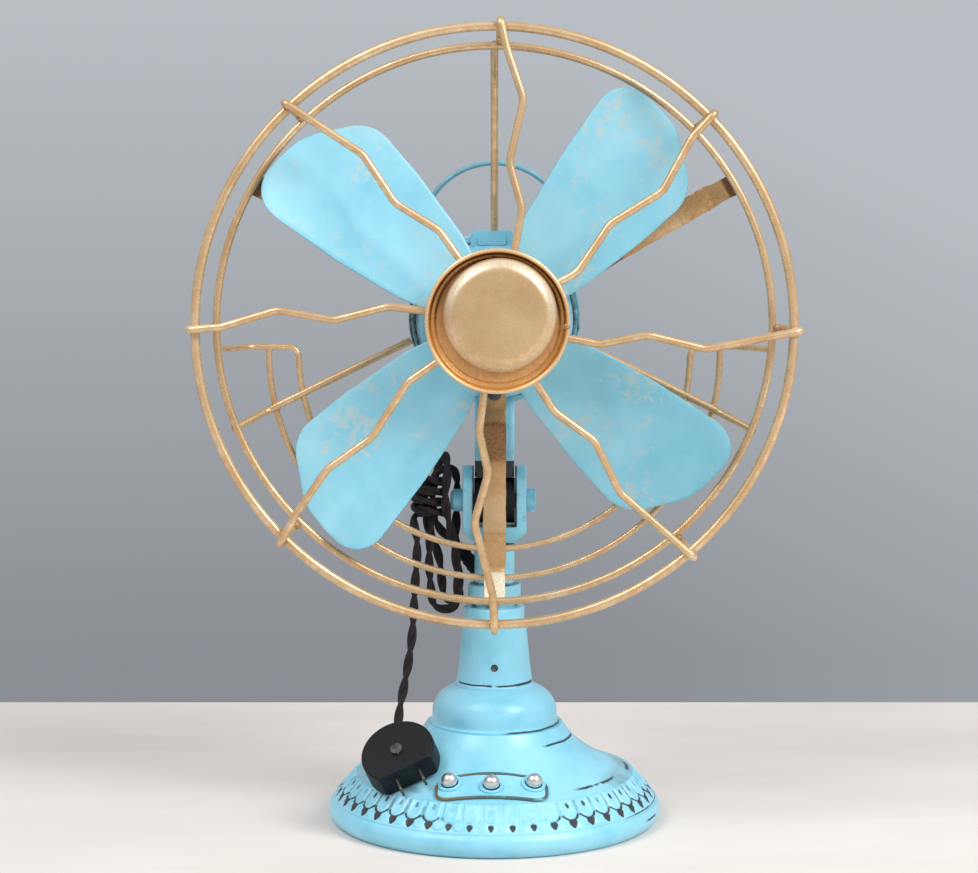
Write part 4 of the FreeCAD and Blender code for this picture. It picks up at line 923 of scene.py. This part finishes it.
# ---- motor
def make_motor():
    """The two bells as turned shells, a stepped front and a domed back, and the raised lug on top of the
    front. Painted shade lies in their grooves, and down both sides of the front's face, more on the left."""
    front = bent([
        (4.5, -18), (11, -18), (11.4, -17.2), (37, -17.4), (40.6, -14.6), (41, -12), (41, -8.6),
        (39.8, -8.2), (39.8, -7), (43.6, -6.4), (43.6, -2.6), (42.4, -2.2), (42.4, -1.2), (45.2, -0.4),
        (45.2, 7.2), (44.7, 7.9), (0, 7.9),
    ], [0.2, 0.2, 2.5, 1.4, 0.8, 0.4, 0.3, 0.3, 0.6, 0.6, 0.2, 0.2, 0.7, 0.4, 0.2], 4)
    front = np.vstack([(0, -18), front])
    radius, depth = front.T
    grooves = most(near(depth, -7.6, 1.4, 0.5), near(depth, -1.7, 1.26, 0.45), near(depth, 7.9, 0.7, 0.25))
    t = circle(160)
    # painted shade down the sides of the front's face, a little stronger on the left
    sides = near(sin(t + 0.05), 0, 0.42, 0.2) * (0.54 - 0.06 * cos(t)) * (depth < 0)
    grime = most(grooves * (radius > 30) * 0.95, sides * eased(radius, 36, 40))
    shell = turned(front, 160, HEART, grime=grime)
    piece("motor_front_shell", "head", stem_paint, [shell], ["motor_front_bell"])

    place = (-1.4, 309.6)
    lug = [
        slab(rounded_box(20, 7.4, 1.3)[::-1] + place, -15.6, 0, 0.9, FACING, grime=0.1),
        slab(rounded_box(13.6, 4.4, 0.9)[::-1] + place, -16.3, -10, 0.5, FACING, grime=0),
    ]
    piece("motor_lug", "head", stem_paint, lug)

    back = bent([
        (0, 8.1), (44.7, 8.1), (45.2, 8.8), (45.2, 20), (44.6, 20.6), (44.6, 21.6), (45.2, 22.2),
        (45.2, 31), (42.6, 37.5), (37.6, 41.2), (36, 40.9), (34.6, 42.4), (30.5, 45.2), (13, 46),
        (11, 45.2), (0, 45.4),
    ], [0.2, 0.4, 0.4, 0.3, 0.3, 0.4, 2, 3, 0.6, 0.6, 0.8, 1.5, 0.6, 0.6], 4)
    radius, depth = back.T
    # painted shade in the back's grooves
    painted_shade = most(near(depth, 21.1, 0.9, 0.3), near(depth, 8.1, 0.7, 0.2), near(radius, 36.2, 1.4, 0.4))
    shell = turned(back, 160, HEART, grime=painted_shade * (radius > 20) * 0.9)
    piece("motor_rear_shell", "head", stem_paint, [shell], ["motor_rear_bell"])


# ---- blades
# round a blade from its trailing neck: share of the way to the tip, distance across, bend
BLADE_OUTLINE = np.array([
    (0.313, -23.6, 60), (0.583, -31.3, 80), (0.838, -35.8, 20), (0.986, -6, 28),
    (1, 12, 80), (0.985, 38.5, 17), (0.583, 31.3, 80), (0.313, 23.6, 60),
])
BLADE_REACH = REAR_RING - 4.8
BLADE_ANGLES = (49, 137.8, 225.9, 320.2)
BLADE_DEPTH = -43
BLADE_CAMBER = 2.2
BLADE_PITCH = math.radians(18)
HALF_SHEET = 0.6


def make_blades():
    """Each blade is a cambered sheet: points between a spine along the blade and its outline, bowed back by
    a parabola across the chord, with a half-round edge, then pitched about the spine and turned to its
    place round the hub."""
    corners = BLADE_OUTLINE[:, :2] * (BLADE_REACH, 1)
    corners = np.vstack([(15, -12.5), corners, (15, 12.5)])
    outline = even_loop(bent(corners, BLADE_OUTLINE[:, 2], 12), 2)
    spine = np.stack([np.clip(outline[:, 0], 30, 108), 0 * outline[:, 0]], 1)
    out = np.linspace(0, 0.985, 16)
    share = np.concatenate([out, [0.9965, 1, 0.9965], out[::-1]])
    face = np.repeat([-1, -0.75, 0, 0.75, 1], [16, 1, 1, 1, 16]) * HALF_SHEET
    flat = spine[:, None] + (outline - spine)[:, None] * share[None, :, None]
    x, z = flat[..., 0], flat[..., 1]
    bow = BLADE_CAMBER * (1 - (z / 35) ** 2) * eased(x, 18, 60) - HALF_SHEET
    y, z = swung(face + bow, z, BLADE_PITCH)
    for number, angle in enumerate(BLADE_ANGLES, 1):
        aside, above = swung(x, z, math.radians(angle))
        points = np.stack([aside, y + BLADE_DEPTH, FAN_AXIS + above], -1)
        sheet = surface(points, True, edge=eased(share, 0.93, 1))
        name = "blade_" + str(number)
        piece("fan_" + name, "rotor", blades_paint, [sheet], [name], 60)


# ---- cage
def make_dish():
    """The dish that gathers the front wires, with a rolled rim and a hollow ring inside it, and the round
    badge that sits in it a little off its middle, with a broad eased edge. The hollow and its seams carry
    painted shade, darkest above, and the rim a painted highlight; the badge has painted shade at its foot
    and a painted highlight along its eased edge, strongest above."""
    dish = capped(bent([
        (34.6, -72), (36.3, -73), (36.3, -75.8), (35.3, -76.6), (34.2, -75.6), (33.2, -74),
        (31.6, -73.5), (31, -72.9), (30.4, -73.5), (26, -73.6),
    ], [0.6, 0.9, 0.7, 0.7, 0.9, 0.4, 0.2, 0.4], 5))
    radius, depth = dish.T
    t = circle(160)
    above = eased(-sin(t), -0.45, 0.55)
    front = depth < -72.6
    hollow = eased(radius, 35, 34.2) * front
    seam = (near(radius, 33.6, 0.9, 0.3) + near(radius, 31, 1, 0.4)) * front
    # painted shade in the hollow and its seams, darkest above
    grime = np.clip(hollow * (0.02 + 0.42 * above) + seam * (0.36 + 0.2 * above), 0, 1)
    # painted highlight on the rolled rim, and a faint one on the lower inner part
    glow = 0.42 * eased(radius, 34.4, 35) + 0.10 * eased(radius, 33.2, 32.4) * (1 - above)
    shape = turned(dish, 160, DISH, grime=grime, glow=glow)
    piece("front_dish", "head", dish_gilt, [shape], ["hub_dish"], 45)

    badge = bent([(28.6, -72.4), (28.6, -76.6), (24, -81), (0, -81.2)], [5, 7], 9)
    badge = np.vstack([(0, -72.4), badge])
    radius, depth = badge.T
    # painted shade round the badge's foot
    foot = eased(depth, -76.2, -74.6) * (radius > 25)
    rim = eased(radius, 22.5, 25.5) * eased(depth, -75.5, -78)
    # painted highlight along the badge's eased edge, strongest above and to one side
    glow = rim * (0.12 + 0.5 * above * eased(cos(t + 0.9), -0.9, -0.2))
    shape = turned(badge, 160, BADGE, grime=foot * 0.8, glow=glow)
    piece("dish_badge", "head", badge_gilt, [shape], (), 45)


STRAP_ROOT = 46
LOWER_STRAP = 270


def strap_corners(angle):
    """Distance from the fan's axis and depth of a strap's bends, drawn out to meet the rear ring, whose
    middle lies lower."""
    a = math.radians(angle)
    drop = FAN_AXIS - CAGE[1]
    reach = math.sqrt(REAR_RING ** 2 - (drop * math.cos(a)) ** 2) - drop * math.sin(a)
    share = np.array([0.083, 0.302, 0.667, 0.859, 1])
    depth = [-22.4, -17.6, -22, -24.6, -38.35]
    bends = np.stack([STRAP_ROOT + share * (reach - STRAP_ROOT), depth], 1)
    return np.vstack([(30, -18.8), (STRAP_ROOT, -18.8), bends])


def make_straps():
    """Three flat bars from the motor's face to the rear ring, hammered a little uneven, each bend eased and
    its tail lapped on the ring. Painted shade lies on a stretch part way out and at one crease, with a faint
    painted highlight further out; the lower bar's tail carries a bright painted highlight, and the tails of
    the other two carry painted shade."""
    parts = []
    for number, angle in enumerate((30, 150, LOWER_STRAP)):
        corners = strap_corners(angle)
        reached, depth = even_steps(bent(corners, [3, 3, 5, 6, 4], 5), 1.5).T
        a = math.radians(angle)
        hammer = 1 + 0.02 * sin(reached * 0.41 + number) + 0.012 * sin(reached * 1.13)
        hammer = hammer * (1 - 0.10 * eased(reached, 126, 132))
        crease, bend = corners[4:6, 0]
        # painted shade on a stretch part way out and at the crease
        smear = eased(reached, 84, 70) * eased(reached, 50, 54) * 0.68
        grime = most(smear, near(reached, crease, 2, 0.6) * 0.5)
        # painted highlight: faint further out, bright on the lower bar's tail; the other tails get painted
        # shade
        glow = 0.12 * eased(reached, 86, 96) * eased(reached, 114, 109)
        if angle == LOWER_STRAP:
            glow = glow + 0.95 * eased(reached, bend + 0.8, bend + 2.2)
        else:
            grime = most(grime, eased(reached, bend + 7, bend + 10) * 0.8)
        path, across = fan_point(angle, reached, depth), (-math.sin(a), 0, math.cos(a))
        parts.append(carried(path, rounded_box(12, 1.6, 0.5, 3), across, hammer, grime=grime, glow=glow))
    piece("cage_straps", "head", strap_gilt, parts, ["rear_straps"], 50)


# angle of each front wire where it leaves the dish, and where it lies over the front ring
WIRE_STARTS = (-13.9, 32.2, 76.4, 121.3, 172.3, 214.1, 259.2, 301.8)
WIRE_ENDS = (-0.3, 44.5, 88.9, 132.8, 180.1, 225, 270, 311.1)


def make_welds():
    """Blobs of weld where the wires meet the dish and the rings, and where the lower wires meet the lower
    strap."""
    blobs = []
    for number, (start, end) in enumerate(zip(WIRE_STARTS, WIRE_ENDS)):
        blobs += [
            lump(fan_point(end, FRONT_RING + 0.4, -63, CAGE), (2.5, 1.6, 2.4), number),
            lump(fan_point(end, REAR_RING + 2.4, -43, CAGE), (2.2, 2.2, 2.2), number + 2),
            lump(fan_point(start, 34.9, -70.9, DISH), (1.9, 1.2, 1.9), number + 4),
        ]
    blobs.append(lump(fan_point(356, 34.6, -76.2, DISH), (1.8, 0.9, 1.4), 3))
    for radius, depth in ((119.4, -21.7), (134.9, -22.6)):
        blobs.append(lump(fan_point(LOWER_STRAP, radius, depth), (3.6, 1.3, 1.6), radius))
    for angle in (90, 201.3, 338.2):
        blobs.append(lump(fan_point(angle, REAR_RING, -40, CAGE), (2.6, 1.7, 2.6), angle))
    piece("cage_welds", "head", weld_gilt, blobs, (), 60)


# ---- switch
FLARE = np.array([(74, 25.3), (56, 32), (43, 40.5), (36.4, 52)])


def flare_at(share):
    """Radius and height of the skirt's flare: the cubic curve of four poles at a share of its way up."""
    s = np.asarray(share)[..., None]
    a, b, c, d = FLARE
    return (1 - s) ** 3 * a + 3 * (1 - s) ** 2 * s * b + 3 * (1 - s) * s ** 2 * c + s ** 3 * d


def make_plate_bead():
    """The raised bead round the switch plate: a box with round corners, bent onto the skirt's flare and
    carried by its slope."""
    plate_share, skin = 0.25, 0.95
    outline = even_loop(rounded_box(56.6, 18.2, 6.4, 7), 1.2)
    middle = flare_at(plate_share)
    ahead = flare_at(plate_share + 0.001) - middle
    x = outline[:, 0]
    out = -middle[0] + outline[:, 1] * math.cos(math.atan2(ahead[1], -ahead[0]))
    flare_radius, flare_height = flare_at(np.linspace(0, 0.6, 200)).T
    height = np.interp(-np.hypot(x, out), -flare_radius, flare_height) + skin
    points = np.stack([*swung(x, out, math.radians(-1.4)), height], 1)
    bead = carried(points, round_section(0.85, 10), (0, 0, 1), closed=True)
    piece("plate_bead", "root", bead_worn, [bead], (), 80)


# ---- making
for make in (
    make_plug_blades, make_cord, make_petals, make_rings, make_stem, make_set_screw, make_tilt_bolt,
    make_post, make_motor, make_blades, make_dish, make_straps, make_welds, make_plate_bead,
):
    make()

# finishes of the pieces that stay as they are
BUTTONS = ("left", "middle", "right")
kept = {
    skirt_paint: ("base_skirt",),
    plate_paint: ("switch_plate",),
    stem_paint: ("blade_hub",),
    handle_paint: ("carry_handle",),
    wire_gilt: (
        "guard_front_ring", "guard_rear_ring", "rear_spokes", "lower_guard_inner", "lower_guard_middle",
        *("front_wire_" + str(number) for number in range(1, 9)),
    ),
    chrome: ("button_" + side for side in BUTTONS),
    steel: (
        "shaft", "hub_nut", "tie_tube", "tie_nut", "cover_screws",
        *("button_spring_" + side for side in BUTTONS),
    ),
    iron: ("rotor_core", "stator_core", "through_bolts", "plug_screw"),
    copper: ("stator_coils",),
    bronze: ("bearings",),
    bakelite: ("plug_body", "plug_cover"),
    switch_stuff: ("switch_block", "base_cover"),
    washer_stuff: ("tilt_washers",),
}
for finish, names in kept.items():
    for name in names:
        nodes[name].data.materials[0] = finish
